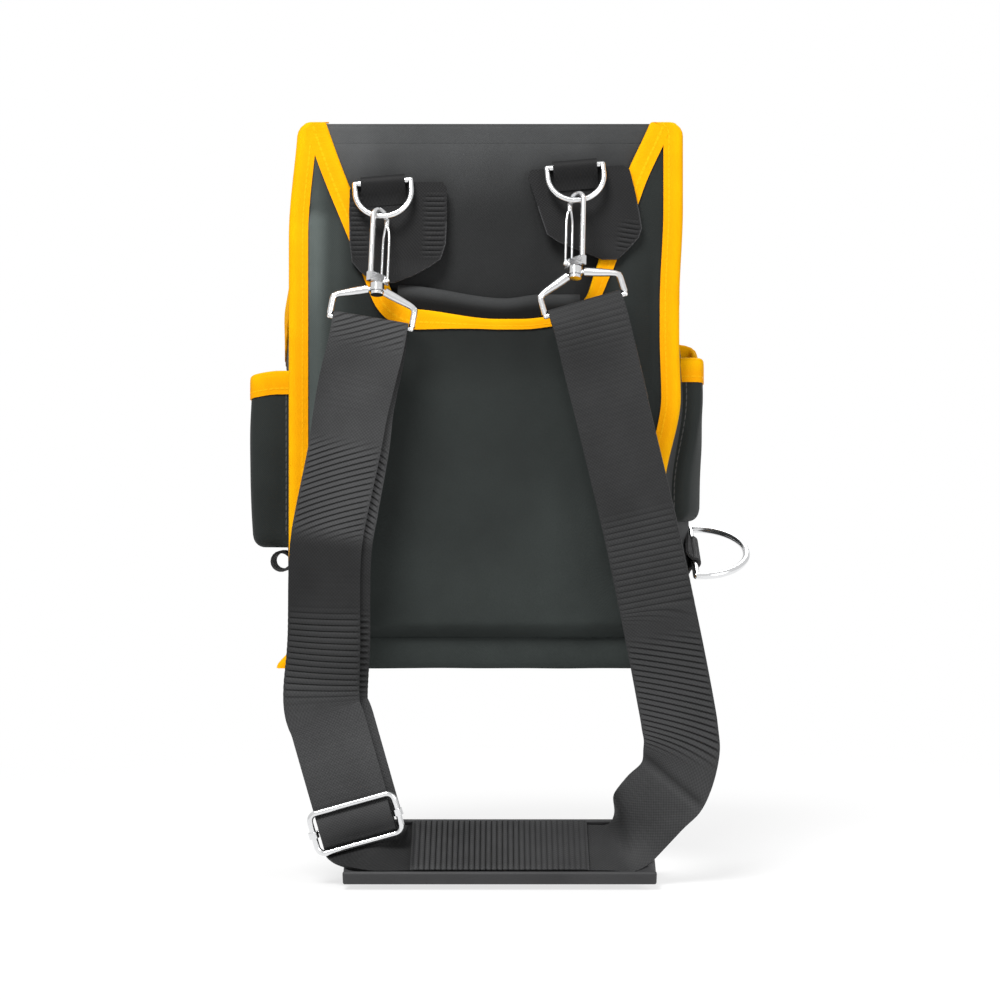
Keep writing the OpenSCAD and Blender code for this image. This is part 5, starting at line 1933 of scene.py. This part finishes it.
tool_loop = sheet("tool_loop_webbing", 20, tool_rows, tool_place, 26, 50)
thicken(tool_loop, 1.8)
finish_piece(tool_loop, webbing, "bag", "webbing", "left_tool_loop")

# %% [markdown]
# ## Sleeve of the hammer loop
# Under the right pocket a sleeve of webbing holds the wire hammer loop, which swings in it. The packed
# model's joint gives the wire's place and direction, and the strip goes over it in an arc, with both ends
# sewn to the side.

# %% Hammer loop sleeve
HOLDER_HALF = 15
HOLDER_PROFILE = [
    (-4.4, 15), (-4.3, 9), (-3.0, 5.4), *arc(3.5, 110, -111, -20), (-3.0, -5.4), (-4.3, -9), (-4.4, -12),
]
holder_rows = len(HOLDER_PROFILE) - 1
loop_at = point_of("hammer_loop_swing")
loop_axis = Vector(JOINTS["hammer_loop_swing"]["axis"])
loop_up = Vector((1, 0, 0)).cross(loop_axis)


def holder_place(u, v):
    out, rise = HOLDER_PROFILE[round(v * holder_rows)]
    spot = loop_at + mix(-HOLDER_HALF, HOLDER_HALF, u) * loop_axis + rise * loop_up
    return spot + Vector((out - side_drop(spot.y) * ease(-2.5, -4, out), 0, 0))


holder = sheet("hammer_sleeve_webbing", 24, holder_rows, holder_place, 30, 50)
thicken(holder, 1.9)
finish_piece(holder, webbing, "bag", "webbing", "hammer_loop_holder")

# %% [markdown]
# ## Steel fittings
# The rings, hooks, pins, bails, slider and hammer loop are cast or bent metal with exact sizes. The packed
# model already has those shapes, so they aren't made again: their solids stay and get the plated finish.

# %% Finish the fittings
STEEL_NODES = (
    "hammer_loop", "left_d_ring", "right_d_ring", "left_hook", "left_gate_pin", "left_bail",
    "right_hook", "right_gate_pin", "right_bail", "slider_frame", "slider_bar",
)
for name in STEEL_NODES:
    fitting = frame["nodes"][name]
    fitting.data.materials.clear()
    fitting.data.materials.append(steel)
print("fittings", len(STEEL_NODES))

# %% [markdown]
# ## Shoulders of the bails
# The bails are pressed flat and broad along their shoulders. A bevelled curve has one thickness, so each
# shoulder is a sheet rolled round a path, with its seam merged and its two ends drawn to a point. That lets
# the bar be broader than it is deep, and broader at one end.

# %% Bail shoulders
TUBE_SIDES = 14
BAIL_HALF = 26.3
SHOULDER = ((5.6, 2.0), (BAIL_HALF, 9.6), (BAIL_HALF, 22.5))
SHOULDER_DEEP = 1.75


def tube(name, path, wide, deep, out):
    """A rounded bar along the points: wide(share) in its own plane, and deep along out."""
    run = run_of(path)
    rows, last = len(path) + 1, len(path) - 1

    def place(u, v):
        row = round(v * rows)
        k = min(max(row - 1, 0), last)
        along = (path[min(k + 1, last)] - path[max(k - 1, 0)]).normalized()
        across = along.cross(out).normalized()
        size = 0.0 if row in (0, rows) else 1.0
        turn = 2 * pi * u
        return path[k] + size * (wide(run[k] / run[-1]) * cos(turn) * across + deep * sin(turn) * out)

    piece = sheet(name, TUBE_SIDES, rows, place, 12, run[-1])
    take(piece)
    bpy.ops.object.mode_set(mode="EDIT")
    bpy.ops.mesh.select_all(action="SELECT")
    bpy.ops.mesh.remove_doubles(threshold=1e-6)
    outward(piece)
    return piece


for name, across, down, out in (
    ("left", left_across, left_down, left_out), ("right", right_across, right_down, right_out),
):
    boss = point_of(name + "_hook_swivel")
    arms = []
    for sign in (-1, 1):
        corners = [boss + sign * far * across + low * down for far, low in SHOULDER]
        arms.append(tube(
            f"{name}_bail_shoulders", rounded(corners, 10, 3),
            lambda share: mix(2.9, 2.0, ease(0.1, 0.75, share)), SHOULDER_DEEP, out,
        ))
    join(*arms)
    finish_piece(arms[0], steel, "strap", "steel")

# %% [markdown]
# ## Wire gates
# Each hook is closed by a narrow loop of springy wire, with an eye on the pin at each foot. The wire is the
# same kind of tube, bent through six corner points, and a small ball on each side stands for the eye. A
# gate rides on its own body, so it opens with its joint.

# %% Wire gates
GATE_LONG = 36.8
GATE_WIRE = 0.85
GATE_HALF = 2.75
TIP_HALF = 1.3
EYE_AT = 2.9
EYE_ROUND = 1.5
for name in ("left", "right"):
    pin = point_of(name + "_gate_open")
    up = Vector(JOINTS[name + "_hook_swivel"]["axis"])
    side = -Vector(JOINTS[name + "_gate_open"]["axis"])
    half_loop = [(GATE_HALF, 0), (GATE_HALF, 0.8 * GATE_LONG), (TIP_HALF, GATE_LONG)]
    corners = [pin - across * side + high * up for across, high in half_loop]
    corners += [pin + across * side + high * up for across, high in reversed(half_loop)]
    wire = rounded(corners, 8, 3)
    gate = tube(f"{name}_gate_wire", wire, lambda share: GATE_WIRE, GATE_WIRE, side.cross(up))
    for sign in (-1, 1):
        let_go()
        bpy.ops.mesh.primitive_uv_sphere_add(
            segments=20, ring_count=12, radius=EYE_ROUND * MM, location=(pin + sign * EYE_AT * side) * MM,
        )
        eye = bpy.context.object
        bpy.ops.object.transform_apply(location=True, rotation=False, scale=False)
        join(gate, eye)
    finish_piece(gate, steel, name + "_gate", "steel", name + "_gate")

# %% [markdown]
# ## Studio floor
# A pale floor takes the shadow near the bag and fades to plain white farther out, so no horizon shows. More
# light could wash the floor out, but it would also change the bag. So what the camera and the metal see is
# turned to white in the floor's material, and the floor that other light meets stays as it is.

# %% Floor
FLOOR_GAP = 0.003
WHITE_FROM = 0.55
WHITE_OVER = 0.35
let_go()
bpy.ops.mesh.primitive_plane_add(size=8, location=(0, 0, cad_low[2] - FLOOR_GAP))
floor = bpy.context.object
floor.name = "floor"
bpy.ops.object.transform_apply(location=True, rotation=False, scale=False)
pale, tree, shader = new_material("pale floor", (0.9, 0.9, 0.9), 0.9)
reach = tree.nodes.new("ShaderNodeVectorMath")
reach.operation = "LENGTH"
tree.links.new(coordinates(tree)["Object"], reach.inputs[0])
past_start = math(tree, "SUBTRACT", reach.outputs["Value"], WHITE_FROM)
away = math(tree, "DIVIDE", past_start, WHITE_OVER, clamp=True)
ray = tree.nodes.new("ShaderNodeLightPath").outputs
watched = math(tree, "MULTIPLY", ray["Is Camera Ray"], math(tree, "MULTIPLY_ADD", away, 0.3, 0.7))
mirrored = math(tree, "MAXIMUM", ray["Is Glossy Ray"], ray["Is Transmission Ray"])
glow = tree.nodes.new("ShaderNodeEmission")
glow.inputs["Color"].default_value = (1, 1, 1, 1)
over_floor = tree.nodes.new("ShaderNodeMixShader")
for socket, value in zip(
    over_floor.inputs, (math(tree, "MAXIMUM", watched, mirrored), shader.outputs[0], glow.outputs[0]),
):
    tree.links.new(value, socket)
tree.links.new(over_floor.outputs[0], tree.nodes["Material Output"].inputs["Surface"])
floor.data.materials.append(pale)
print("floor at", round(floor.data.vertices[0].co.z, 3), "m")

# %% [markdown]
# ## Lamps and world
# One broad lamp stands high in front on the left, a weaker one fills from the right, and a third edges the
# bag from behind. The world lights the rest evenly. It is plain white to the camera and dimmer in the
# metal, so that the metal's dark sides still show.

# %% Lamps and world
BAG_MIDDLE = Vector((0, 0, -0.24))
WORLD_LIGHT = 0.38
METAL_SEES = 0.55


def lamp(name, place, size, power):
    bpy.ops.object.light_add(type="AREA", location=place)
    light = bpy.context.object
    light.name = name
    light.data.shape = "DISK"
    light.data.size = size
    light.data.energy = power
    light.rotation_euler = (BAG_MIDDLE - Vector(place)).to_track_quat("-Z", "Y").to_euler()


lamp("key_lamp", (-0.45, -1.05, 1.25), 0.8, 40)
lamp("fill_lamp", (1.2, -1.3, 0.2), 1.0, 9)
lamp("rim_lamp", (0.5, 1.0, 0.9), 0.8, 10)
world = bpy.context.scene.world or bpy.data.worlds.new("studio")
bpy.context.scene.world = world
world.use_nodes = True
tree = world.node_tree
plain = tree.nodes["Background"]
plain.inputs["Color"].default_value = (1, 1, 1, 1)
ray = tree.nodes.new("ShaderNodeLightPath").outputs
direct = math(tree, "MAXIMUM", ray["Is Camera Ray"], ray["Is Transmission Ray"])
shiny = math(tree, "MULTIPLY", ray["Is Glossy Ray"], METAL_SEES)
seen = math(tree, "MAXIMUM", direct, shiny)
tree.links.new(math(tree, "MULTIPLY_ADD", seen, 1 - WORLD_LIGHT, WORLD_LIGHT), plain.inputs["Strength"])
bpy.context.scene.view_settings.view_transform = "Standard"
print("world light", WORLD_LIGHT)
